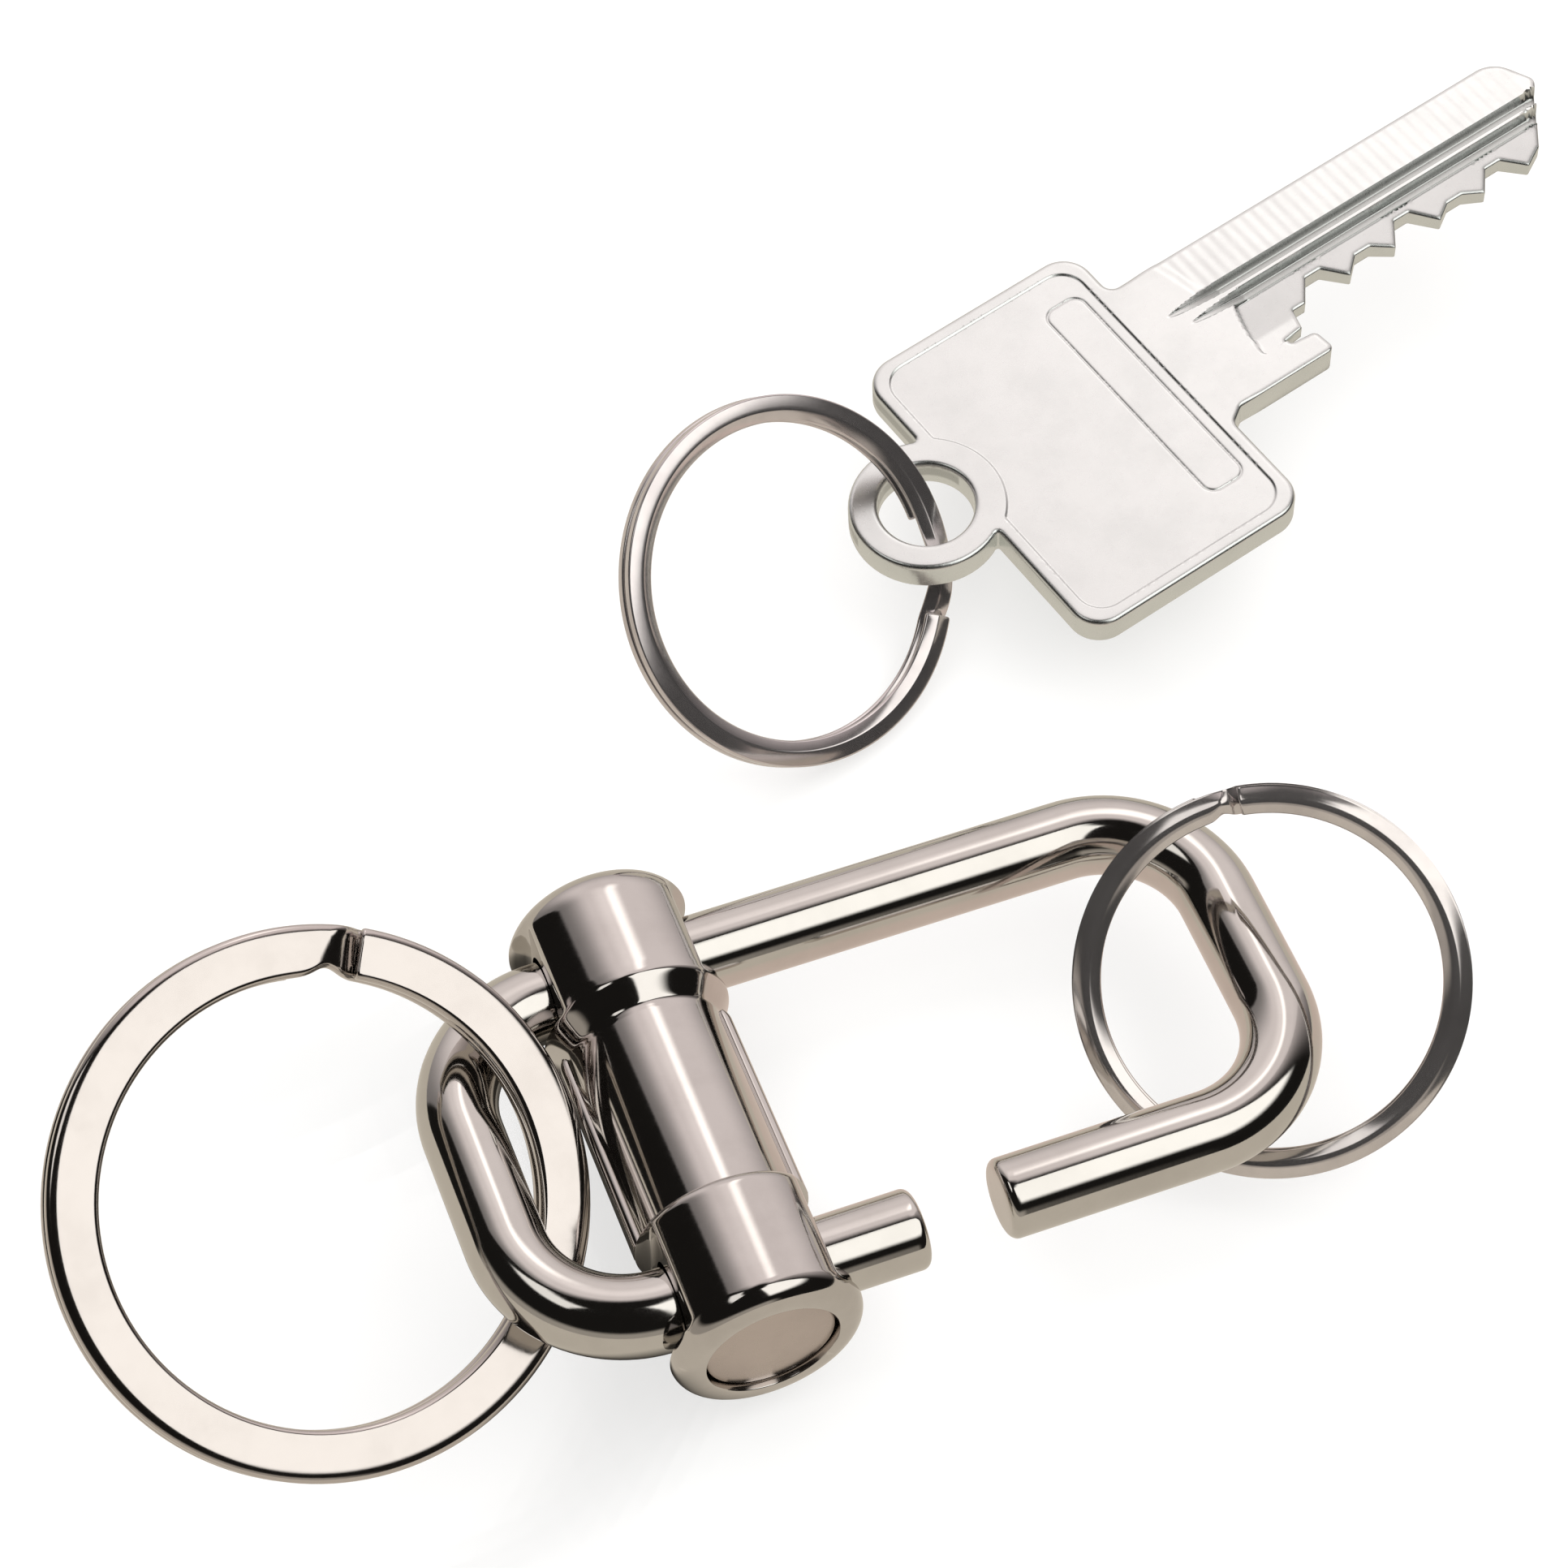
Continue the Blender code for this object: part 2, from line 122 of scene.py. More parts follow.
# Button disc: round of its edge and height of its slight dome.
DISC_ROUND = 0.16
DISC_DOME = 0.07
DISC_SIDES = 128

# Split rings: normal, side the crossover faces, outer radius, strip width, thickness of the pair,
# degrees of crossover.
BIG_RING = ((0.15, -0.541, 0.827), (0.28, 0.78, 0.45), 16.33, 3.1, 2.2, 14)
SMALL_RING = ((-0.341, -0.585, 0.736), (-0.01, 0.79, 0.62), 12.13, 1.75, 1.7, 10)
LOOSE_RING = ((0.286, -0.646, 0.708), (0.94, 0.06, -0.33), 12.13, 1.75, 1.7, 32)

# Air between a ring's two turns, degrees from the crossover to each cut end, the round of those ends,
# and the share by which the strip is smaller there.
TURN_GAP = 0.07
STRIP_END = 1.2
STRIP_ROUND = 0.2
STRIP_SHRINK = 0.16

# Roll from the lower turn to the upper one, in shares of the crossover: how early it begins, how long it
# is at the outer edge, and how much longer it gets towards the inner edge. The pinch narrows the strip.
ROLL_LEAD = 0.08
ROLL_LENGTH = 0.42
ROLL_LAG = 0.205
PINCH = 0.17
PINCH_MIDDLE = 0.45
PINCH_SPREAD = 0.28

# Key, from the middle of the ear's hole on the upper face, X along the blade.
KEY_ALONG = (0.9647, 0.2524, 0.0756)
KEY_THICKNESS = 2.2
KEY_HOLE = 3.2
KEY_EAR = 5.17
BOW_LEFT = 2.52
BOW_RIGHT = 20.38
BOW_TOP = 11.13
BOW_BOTTOM = -14.78
BOW_ROUND = 2.2
EAR_ROUND = 1.3
BLADE_TOP = 6.68
BLADE_TIP = 55.4

# Round of the key's edges, the share of it on the blade and the X where it changes, least thickness
# between the two faces, the crease angle, and the X where the mesh's finer grid begins.
EDGE_ROUND = 0.34
BLADE_EDGE_SHARE = 0.4
BLADE_EDGE_FROM = (21.5, 23.5)
LEAST_THICKNESS = 0.15
KEY_SHARP = 40
BLADE_GRID = 21.9

# Cuts in the blade's lower edge, from the tip towards the bow, and the notched shoulder behind them.
# Each shoulder corner is X, Y and radius.
CUT_EDGE = -1.75
CUT_START = BLADE_TIP - 5.0
CUT_PITCH = 3.95
CUT_ROUND = 0.15
CUT_DEPTHS = (1.5, 0.8, 1.75, 1.1, 1.6)
SHOULDER = (
    (29.6, CUT_EDGE, 0.15), (29.2, -3.2, 0.15), (27.6, -3.4, 0.12), (27.4, -4.1, 0.2), (29.4, -4.3, 0.5),
    (29.6, -6.2, 0.5), (BOW_RIGHT + 1.2, -6.2, 0.5), (BOW_RIGHT, -7.0, 0.6),
)

# Bow: the sunk field inside the rim, the land round the ear, and the label bar's outline. Boxes are left,
# right, bottom, top and corner radius.
BOW_RIM = 0.95
EAR_LAND = KEY_EAR + 0.1
FIELD_BOX = (BOW_LEFT + BOW_RIM, BOW_RIGHT - BOW_RIM, BOW_BOTTOM + BOW_RIM, BOW_TOP - BOW_RIM, 1.9)
FIELD_DEPTH = 0.09
LABEL_BOX = (15.5, 18.5, -10.6, 7.8, 0.9)
LABEL_DEPTH = 0.05
LABEL_WIDTH = 0.08

# Grooves along the blade: middle, half width, depth and the X of its point; and how long each point is.
TOP_GROOVES = ((2.5, 0.58, 0.85, 22.2), (1.15, 0.52, 0.75, 23.2))
BOTTOM_GROOVE = (4.4, 0.5, 0.6, 22.8)
GROOVE_POINT = 4.5

# Milled lower sides of the blade: the crescent they begin with, their lower end, how far up each one
# reaches, their depth, and how much deeper the upper one gets per millimetre downwards.
FLANK_START = 25.4
FLANK_BEND = 0.045
FLANK_LOW = -3.8
TOP_FLANK_HIGH = 0.62
BOTTOM_FLANK_HIGH = 1.1
FLANK_DEPTH = 0.4
FLANK_TAPER = 0.08

# Upper flat of the blade: X of its slanting start, Y of its lower end and its depth; and the ripple that
# the cutter left on it.
FLAT_START = (24.2, 25.2)
FLAT_LOW = (2.9, 3.1)
FLAT_DEPTH = 0.1
RIPPLE_START = (24.3, 25.5)
RIPPLE_PITCH = 0.9
RIPPLE_HEIGHT = 0.03

SHACKLE_LOW, SHACKLE_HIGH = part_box("shackle_wire")
ORIGIN = (SHACKLE_LOW + SHACKLE_HIGH) / 2
HALF_LENGTH = (SHACKLE_HIGH.x - SHACKLE_LOW.x) / 2 / MM - WIRE_RADIUS
HALF_WIDTH = (SHACKLE_HIGH.y - SHACKLE_LOW.y) / 2 / MM - WIRE_RADIUS


# ---------------------------------------------------------------- mesh helpers

def to_world(points, matrix=None):
    """Points in metres, from millimetres round the shackle's middle or in the matrix's own frame."""
    points = np.asarray(points, float) * MM
    if matrix is None:
        return points + np.array(ORIGIN)
    m = np.array(matrix, float)
    return points @ m[:3, :3].T + m[:3, 3]


def make_object(name, points, faces, body, node, sharp=38):
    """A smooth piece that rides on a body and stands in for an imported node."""
    mesh = bpy.data.meshes.new(name)
    mesh.from_pydata([tuple(p) for p in points], [], [tuple(f) for f in faces])
    mesh.validate()
    shape = bmesh.new()
    shape.from_mesh(mesh)
    bmesh.ops.remove_doubles(shape, verts=shape.verts, dist=1e-7)
    bmesh.ops.recalc_face_normals(shape, faces=shape.faces)
    shape.to_mesh(mesh)
    shape.free()
    item = bpy.data.objects.new(name, mesh)
    bpy.context.scene.collection.objects.link(item)
    shade(item, sharp)
    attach(item, body)
    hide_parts(node)
    return item


def shade(item, degrees):
    """Smooth shading, with a crease wherever two faces meet at more than this angle."""
    for polygon in item.data.polygons:
        polygon.use_smooth = True
    item.data.set_sharp_from_angle(angle=math.radians(degrees))


def arc(cx, cy, radius, start, end, steps):
    """Points along a round from one angle to another, in degrees, both ends included."""
    angles = np.radians(np.linspace(start, end, steps + 1))
    return [(cx + radius * math.cos(a), cy + radius * math.sin(a)) for a in angles]


def ring_about_y(middle_x, radius, y, angle):
    """Points round a line along Y; the angle runs from +Z towards +X."""
    x = middle_x + radius * np.sin(angle)
    z = radius * np.cos(angle)
    return np.stack([x, np.full_like(x, y), z], axis=1)


def loft(rings):
    """Points and faces of a tube through rings of equal count; the ends are closed with flat caps."""
    rings = [np.asarray(r) for r in rings]
    count = len(rings[0])
    points = np.concatenate(rings)
    faces = []
    for i in range(len(rings) - 1):
        a = i * count
        b = a + count
        for j in range(count):
            k = (j + 1) % count
            faces.append((a + j, a + k, b + k, b + j))
    faces.append(tuple(reversed(range(count))))
    last = (len(rings) - 1) * count
    faces.append(tuple(range(last, last + count)))
    return points, faces


def smoothstep(low, high, value):
    """0 below the low value, 1 above the high one, with a soft rise between them."""
    t = np.clip((value - low) / (high - low), 0.0, 1.0)
    return t * t * (3 - 2 * t)


def plateau(value, rise, full, fall, out):
    """1 between full and fall, running out softly to 0 at rise and at out."""
    return smoothstep(rise, full, value) * (1 - smoothstep(fall, out, value))


def smooth_max(a, b, softness):
    """The larger of two values, with the corner between them rounded."""
    return (a + b + np.sqrt((a - b) ** 2 + softness * softness)) / 2


def smooth_min(a, b, softness):
    """The smaller of two values, with the corner between them rounded."""
    return (a + b - np.sqrt((a - b) ** 2 + softness * softness)) / 2


# ---------------------------------------------------------------- materials

# Patterns in the metals, per metre: clouds of about 4 mm, grain of about 0.4 mm, and scratches that are
# long along Z.
CLOUD_SCALE = 260.0
GRAIN_SCALE = 2400.0
SCRATCH_SCALE = (900.0, 900.0, 120.0)
SCRATCH_HEIGHT = 0.04 * MM

# Turning marks run round the plunger, so they follow each other closely along Y.
TURNING_SCALE = (200.0, 3000.0, 200.0)

# Pointiness of an edge where its plating begins to look rubbed, and where it is fully so.
RUBBED = (0.53, 0.62)
RUBBED_GAIN = 1.25


class Nodes:
    """A short way to write a node tree."""

    def __init__(self, tree):
        self.tree = tree

    def add(self, kind, **settings):
        """A new node with these settings."""
        node = self.tree.nodes.new(kind)
        for key, value in settings.items():
            setattr(node, key, value)
        return node

    def set(self, node, values):
        """Link or fill a node's inputs."""
        for key, value in values.items():
            if isinstance(value, bpy.types.NodeSocket):
                self.tree.links.new(value, node.inputs[key])
            else:
                node.inputs[key].default_value = value
        return node

    def math(self, operation, a, b=0.0, c=0.0):
        """Output of a math node."""
        node = self.add("ShaderNodeMath", operation=operation)
        self.set(node, {0: a, 1: b, 2: c})
        return node.outputs[0]

    def ramp(self, value, low, high, out_low=0.0, out_high=1.0):
        """A soft step from one output value to the other."""
        node = self.add("ShaderNodeMapRange", interpolation_type="SMOOTHSTEP")
        self.set(node, {0: value, 1: low, 2: high, 3: out_low, 4: out_high})
        return node.outputs[0]

    def noise(self, vector, scale, detail=2.0, roughness=0.5):
        """Output of a noise texture."""
        node = self.add("ShaderNodeTexNoise")
        self.set(node, {"Vector": vector, "Scale": scale, "Detail": detail, "Roughness": roughness})
        return node.outputs[0]

    def mix(self, factor, a, b):
        """A mix of two colours."""
        node = self.add("ShaderNodeMix", data_type="RGBA")
        self.set(node, {0: factor, 6: a, 7: b})
        return node.outputs[2]


def metal(
    name, colour, dark, roughness, spread=0.05, scratch=0.02, lines=SCRATCH_SCALE, rubbed=0.0, metallic=1.0,
):
    """Metal with a cloudy tone, a roughness that varies, fine scratches and, where asked, rubbed edges."""
    material = bpy.data.materials.new(name)
    material.use_nodes = True
    tree = material.node_tree
    n = Nodes(tree)
    shader = tree.nodes["Principled BSDF"]
    place = n.add("ShaderNodeTexCoord").outputs["Object"]
    cloud = n.noise(place, CLOUD_SCALE, 4.0, 0.6)
    grain = n.noise(place, GRAIN_SCALE)
    tone = n.mix(n.ramp(cloud, 0.35, 0.75), (*colour, 1.0), (*dark, 1.0))
    if rubbed:
        point = n.add("ShaderNodeNewGeometry").outputs["Pointiness"]
        worn = n.math("MULTIPLY", n.ramp(point, *RUBBED), rubbed)
        tone = n.mix(worn, tone, (*[min(1.0, c * RUBBED_GAIN) for c in colour], 1.0))
    stretch = n.add("ShaderNodeMapping")
    n.set(stretch, {"Vector": place, "Scale": lines})
    scratches = n.noise(stretch.outputs[0], 3.0, 3.0, 0.6)
    rough = n.math("MULTIPLY_ADD", grain, spread, roughness - spread / 2)
    rough = n.math("MULTIPLY_ADD", scratches, spread, rough)
    bump = n.add("ShaderNodeBump")
    n.set(bump, {"Strength": scratch, "Distance": SCRATCH_HEIGHT, "Height": scratches})
    n.set(shader, {"Base Color": tone, "Metallic": metallic, "Roughness": rough, "Normal": bump.outputs[0]})
    return material


def use(item, material):
    """Give a piece one material in place of all it had."""
    item.data.materials.clear()
    item.data.materials.append(material)
    return item


# ---------------------------------------------------------------- shackle wire

def wire_centres():
    """Centre line of the wire from the stub's end, round the four bends, to the free end."""
    inner_x = HALF_LENGTH - BEND_RADIUS
    inner_y = HALF_WIDTH - BEND_RADIUS
    path = [(STUB_END, -HALF_WIDTH)]
    for sign_x, sign_y, start in ((-1, -1, 270), (-1, 1, 180), (1, 1, 90), (1, -1, 0)):
        path += arc(sign_x * inner_x, sign_y * inner_y, BEND_RADIUS, start, start - 90, 30)
    path.append((FREE_END, -HALF_WIDTH))
    dense = [np.array(path[0])]
    for a, b in zip(path, path[1:]):
        a, b = np.array(a), np.array(b)
        parts = max(1, round(float(np.linalg.norm(b - a)) / WIRE_STEP))
        dense += [a + (b - a) * i / parts for i in range(1, parts + 1)]
    return np.array(dense)


def build_wire():
    """Round bar along the centre line, with rounded edges and flat faces at its two ends."""
    path = wire_centres()
    length = np.concatenate([[0], np.cumsum(np.linalg.norm(np.diff(path, axis=0), axis=1))])
    edge = WIRE_EDGE * (1 - np.cos(np.radians(np.linspace(0, 90, 7))))
    clear = WIRE_EDGE * 1.2
    between = length[(length > clear) & (length < length[-1] - clear)]
    at = np.concatenate([edge, between, length[-1] - edge[::-1]])
    centre = np.stack([np.interp(at, length, path[:, i]) for i in (0, 1)], axis=1)
    ahead = np.stack([np.interp(at + 0.05, length, path[:, i]) for i in (0, 1)], axis=1)
    behind = np.stack([np.interp(at - 0.05, length, path[:, i]) for i in (0, 1)], axis=1)
    tangent = ahead - behind
    tangent /= np.linalg.norm(tangent, axis=1)[:, None]
    turn = np.radians(np.arange(WIRE_SIDES) * 360 / WIRE_SIDES)
    up = np.array((0.0, 0.0, 1.0))
    rings = []
    for place, c, t in zip(at, centre, tangent):
        inset = max(0.0, WIRE_EDGE - min(place, length[-1] - place))
        radius = WIRE_RADIUS - WIRE_EDGE + math.sqrt(max(WIRE_EDGE ** 2 - inset ** 2, 0.0))
        side = np.array((t[1], -t[0], 0.0))
        middle = np.array((c[0], c[1], 0.0))
        rings.append(middle + radius * (np.outer(np.cos(turn), side) + np.outer(np.sin(turn), up)))
    first, last = rings[0], rings[-1]
    for share in (0.75, 0.4):
        rings.insert(0, first.mean(axis=0) + (first - first.mean(axis=0)) * share)
        rings.append(last.mean(axis=0) + (last - last.mean(axis=0)) * share)
    points, faces = loft(rings)
    item = make_object("wire_shackle", to_world(points), faces, "shackle", "shackle_wire")
    return use(item, metal("polished wire", (0.62, 0.60, 0.57), (0.58, 0.56, 0.53), 0.05, rubbed=0.3))


# ---------------------------------------------------------------- barrel

def barrel_outline():
    """Radius and Y down the outside from the plain end, round the rim and back up the bore."""
    high = PLAIN_END - PLAIN_END_ROUND
    outline = [(0.0, PLAIN_END), (1.2, PLAIN_END), (2.4, PLAIN_END - 0.01)]
    outline += arc(COLLAR_RADIUS - PLAIN_END_ROUND, high, PLAIN_END_ROUND, 90, 0, 16)
    outline += [(COLLAR_RADIUS, y) for y in np.arange(high - 0.2, NECK_HIGH + 0.5, -0.2)]
    for y in np.arange(NECK_HIGH + 0.45, NECK_LOW - 0.45, -0.07):
        outline.append((neck_radius(y), y))
    outline += [(WAIST_RADIUS, y) for y in np.arange(NECK_LOW - 0.5, NECK_LOW - 1.4, -0.08)]
    outline += [(WAIST_RADIUS, y) for y in np.arange(NECK_LOW - 1.5, STEP_Y + 0.1, -0.3)]
    outline += [(WAIST_RADIUS, STEP_Y + 0.06), (WAIST_RADIUS + 0.02, STEP_Y)]
    outline += [(WAIST_RADIUS + 0.1, STEP_Y - 0.02)]
    outline += arc(COLLAR_RADIUS - STEP_ROUND, STEP_Y - STEP_ROUND - 0.03, STEP_ROUND, 80, 0, 10)
    low = BUTTON_END + BUTTON_END_ROUND
    outline += [(COLLAR_RADIUS, y) for y in np.arange(STEP_Y - STEP_ROUND - 0.2, low, -0.18)]
    outline += arc(COLLAR_RADIUS - BUTTON_END_ROUND, low, BUTTON_END_ROUND, 0, -90, 12)
    outline += arc(RECESS_RADIUS + RECESS_ROUND, BUTTON_END + RECESS_ROUND, RECESS_ROUND, 270, 180, 4)
    outline += [(RECESS_RADIUS, RECESS_FLOOR), (LONG_BORE_RADIUS, RECESS_FLOOR)]
    outline += [(LONG_BORE_RADIUS, y) for y in np.arange(RECESS_FLOOR + 0.8, LONG_BORE_END, 0.8)]
    outline += [(LONG_BORE_RADIUS, LONG_BORE_END), (0.0, LONG_BORE_END)]
    return outline


def neck_radius(y):
    """Collar to waist: a short cone with a soft edge at each end."""
    slope = (COLLAR_RADIUS - WAIST_RADIUS) / (NECK_HIGH - NECK_LOW)
    cone = WAIST_RADIUS + (y - NECK_LOW) * slope
    return float(smooth_min(smooth_max(cone, WAIST_RADIUS, SOFT_EDGE), COLLAR_RADIUS, SOFT_EDGE))


def waist_section():
    """Angles from +Z towards +X and radii of the waist with its two side ribs."""
    corner = RIB_FACE_X - RIB_ROUND
    side = [(RIB_FACE_X, z) for z in (0.0, 0.2, 0.4)]
    side += arc(corner, RIB_HALF - RIB_ROUND, RIB_ROUND, 0, 90, 8)
    side += [(corner - 0.06, RIB_HALF + 0.01), *RIB_FOOT]
    quarter = [(math.atan2(z, x), math.hypot(x, z)) for x, z in side]
    quarter += [(math.radians(a), WAIST_RADIUS) for a in np.arange(16.0, 90.0, 1.4)]
    angles, radii = [], []
    for quadrant in range(4):
        if quadrant % 2 == 0:
            part = quarter + [(math.pi / 2, WAIST_RADIUS)]
        else:
            part = [(math.pi / 2 - a, r) for a, r in reversed(quarter[1:])]
        angles += [quadrant * math.pi / 2 + a for a, _ in part]
        radii += [r for _, r in part]
    return math.pi / 2 - np.array(angles), np.array(radii)


def relieve(radius, y, angle):
    """The outer radius with the side flats round the wire holes."""
    flat = FLAT_FACE_X / np.maximum(np.abs(np.sin(angle)), 0.05)
    cut = np.maximum(plateau(y, *FAR_FLAT), plateau(y, *NEAR_FLAT))
    flattened = smooth_min(radius, flat, SOFT_EDGE)
    return radius * (1 - cut) + flattened * cut


def build_barrel():
    """Turned shell with two ribs and four flats, and the two cross holes that the wire's legs run in."""
    low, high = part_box("barrel_body")
    middle_x = float((low.x + high.x) / 2 - ORIGIN.x) / MM
    outline = barrel_outline()
    angle, ribbed = waist_section()
    lowest = int(np.argmin([y for _, y in outline]))
    rings = []
    for i, (outer, y) in enumerate(outline):
        radius = np.full(len(angle), max(outer, AXIS_RADIUS))
        if i <= lowest and outer > 4.0:
            radius = relieve(radius, y, angle)
        if i < lowest and STEP_Y - 0.01 < y < RIB_END:
            start = min(1.0, max(0.0, (RIB_END - y) / RIB_RUN_OUT))
            lift = math.sqrt(1 - (1 - start) ** 2)
            radius = np.maximum(radius, WAIST_RADIUS + (ribbed - WAIST_RADIUS) * lift)
        rings.append(ring_about_y(middle_x, radius, y, angle))
    points, faces = loft(rings)
    item = make_object(
        "barrel_shell", to_world(points), faces, "barrel", "barrel_body",
    )
    for y in (-HALF_WIDTH, HALF_WIDTH):
        bore_through(item, middle_x, y)
    shade(item, BARREL_SHARP)
    return use(item, metal("black nickel", (0.60, 0.575, 0.55), (0.55, 0.525, 0.50), 0.045, rubbed=0.3))


def bore_through(item, middle_x, leg_y):
    """Cut the plain cross hole for one of the wire's legs through the barrel along X."""
    half = COLLAR_RADIUS + 2
    turn = np.radians(np.arange(72) * 5)
    y = leg_y + BORE_RADIUS * np.cos(turn)
    z = BORE_RADIUS * np.sin(turn)
    points, faces = loft([np.stack([np.full_like(y, middle_x + x), y, z], axis=1) for x in (-half, half)])
    mesh = bpy.data.meshes.new("bore_cut")
    mesh.from_pydata([tuple(p) for p in to_world(points)], [], faces)
    tool = bpy.data.objects.new("bore_cut", mesh)
    bpy.context.scene.collection.objects.link(tool)
    shape = bmesh.new()
    shape.from_mesh(mesh)
    bmesh.ops.recalc_face_normals(shape, faces=shape.faces)
    shape.to_mesh(mesh)
    shape.free()
    modifier = item.modifiers.new("bore", "BOOLEAN")
    modifier.operation = "DIFFERENCE"
    modifier.solver = "EXACT"
    modifier.object = tool
    bpy.context.view_layer.update()
    cut = bpy.data.meshes.new_from_object(item.evaluated_get(bpy.context.evaluated_depsgraph_get()))
    item.modifiers.clear()
    item.data = cut
    bpy.data.objects.remove(tool, do_unlink=True)


def finish_hidden_pieces():
    """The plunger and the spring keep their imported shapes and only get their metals."""
    turned = metal("turned steel", (0.62, 0.61, 0.59), (0.52, 0.51, 0.49), 0.3, lines=TURNING_SCALE)
    drawn = metal("spring steel", (0.50, 0.49, 0.47), (0.42, 0.41, 0.40), 0.28)
    use(frame["nodes"]["lock_plunger"], turned)
    use(frame["nodes"]["return_spring"], drawn)


def build_button():
    """Slightly domed disc with a rounded edge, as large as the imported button."""
    low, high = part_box("button_cap")
    middle = (low + high) / 2
    radius = (high.x - low.x) / 2 / MM
    face = (low.y - ORIGIN.y) / MM
    back = (high.y - ORIGIN.y) / MM
    middle_x = (middle.x - ORIGIN.x) / MM
    turn = np.radians(np.arange(DISC_SIDES) * 360 / DISC_SIDES)
    profile = [(AXIS_RADIUS, face)]
    for share in np.linspace(0.1, 0.92, 12):
        profile.append((radius * share, face + DISC_DOME * share ** 2))
    edge = arc(0, face + DISC_DOME + 0.01 + DISC_ROUND, DISC_ROUND, -80, 0, 6)
    profile += [(radius - DISC_ROUND + x, y) for x, y in edge]
    profile += [(radius, back), (AXIS_RADIUS, back)]
    points, faces = loft([ring_about_y(middle_x, r, y, turn) for r, y in profile])
    item = make_object("button_disc", to_world(points), faces, "button", "button_cap")
    satin = metal("satin disc", (0.56, 0.49, 0.455), (0.51, 0.445, 0.415), 0.26, spread=0.02, scratch=0.005)
    return use(item, satin)


# ---------------------------------------------------------------- split rings

def ring_matrix(node, normal, side):
    """Ring frame in the middle of the node's box: X towards the crossover, Z along the ring's axis."""
    low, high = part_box(node)
    axis = Vector(normal).normalized()
    toward = Vector(side)
    toward = (toward - axis * toward.dot(axis)).normalized()
    turn = Matrix((toward, axis.cross(toward), axis)).transposed().to_4x4()
    return Matrix.Translation((low + high) / 2) @ turn


def flat_section(width, height):
    """Flat strip: small rounds at the inner edge, wide ones at the outer edge."""
    corner = 0.4
    y = height / 2 - corner
    section = []
    for sx, sy, start in ((1, 1, 0), (-1, 1, 90), (-1, -1, 180), (1, -1, 270)):
        reach = 0.8 if sx > 0 else corner
        x = width / 2 - reach
        turned = arc(0, sy * y, corner, start, start + 90, 8)
        section += [(sx * x + cx * reach / corner, cy) for cx, cy in turned]
        if sx == sy:
            across = np.linspace(0.65, -1.05, 12)
            section += [(at, sy * height / 2) for at in (across if sx > 0 else across[::-1])]
    return np.array(section)


def ridged_section(width, height):
    """Rolled strip: a face that falls to the outer edge, and a bevel towards the inside."""
    w, h = width / 2, height / 2
    upper = [(w, h - 0.20), (w - 0.02, h - 0.15), (w - 0.07, h - 0.10), (w - 0.13, h - 0.08)]
    upper += [(0.10, h - 0.02), (-0.08, h), (-0.15, h - 0.005), (-0.21, h - 0.03)]
    upper += [(0.12 - w, h - 0.23), (0.05 - w, h - 0.28), (-w, h - 0.35)]
    return np.array(upper + [(x, -y) for x, y in reversed(upper)])


def roof_section(width, height):
    """Rolled strip with a soft ridge along each face and rounded edges."""
    w, h = width / 2, height / 2
    x = np.linspace(w - 0.05, 0.05 - w, 24)
    y = h + 0.18 - 0.6 * np.hypot(x + 0.05, 0.3)
    upper = [(w, 0.01), (w - 0.02, 0.025)] + list(zip(x, y)) + [(0.02 - w, 0.07), (-w, 0.02)]
    return np.array(upper + [(x, -y) for x, y in reversed(upper)])


def ring_degrees(total, cross, crossover, tip):
    """Degrees along the strip: even steps, finer ones in the crossover and at the rounded ends."""
    even = np.linspace(0, total, 300)
    finer = np.linspace(cross, cross + crossover, 30)
    swept = np.unique(np.concatenate([even, finer]))
    clear = tip * 1.3
    swept = swept[(swept > clear) & (swept < total - clear)]
    rounded = tip * (1 - np.cos(np.radians((0, 30, 60, 90))))
    return np.concatenate([rounded, swept, total - rounded[::-1]])


def build_split_ring(name, node, body, ring, profile, material):
    """Two turns of flat strip: the strip rolls from the lower level to the upper at the crossover."""
    normal, side, outer, width, thickness, crossover = ring
    matrix = ring_matrix(node, normal, side)
    height = (thickness - TURN_GAP) / 2
    section = profile(width, height)
    start = crossover / 2 + STRIP_END
    total = 720 - crossover - 2 * STRIP_END
    cross = 360 - crossover - STRIP_END
    tip = STRIP_ROUND / (outer * math.pi / 180)
    across = section[:, 0] / (width / 2)
    length = ROLL_LENGTH + ROLL_LAG * (1 - across)
    rings = []
    for swept in ring_degrees(total, cross, crossover, tip):
        share = (swept - cross) / crossover
        level = 0.5 - np.clip(1 - (share + ROLL_LEAD) / length, 0.0, 1.0) ** 2
        pinch = 1 - PINCH * math.exp(-((share - PINCH_MIDDLE) / PINCH_SPREAD) ** 2)
        angle = math.radians(start + swept)
        radial = np.array((math.cos(angle), math.sin(angle), 0.0))
        inset = max(0.0, 1 - min(swept, total - swept) / tip)
        shrink = 1 - STRIP_SHRINK * (1 - math.sqrt(1 - inset ** 2))
        x = (section[:, 0] - width / 2) * pinch * shrink + width / 2 * shrink
        z = section[:, 1] * shrink + (height + TURN_GAP) * level
        rings.append(np.outer(outer - width / 2 + x, radial) + np.outer(z, (0, 0, 1)))
    points, faces = loft(rings)
    item = make_object(name, to_world(points, matrix), faces, body, node)
    return use(item, material)


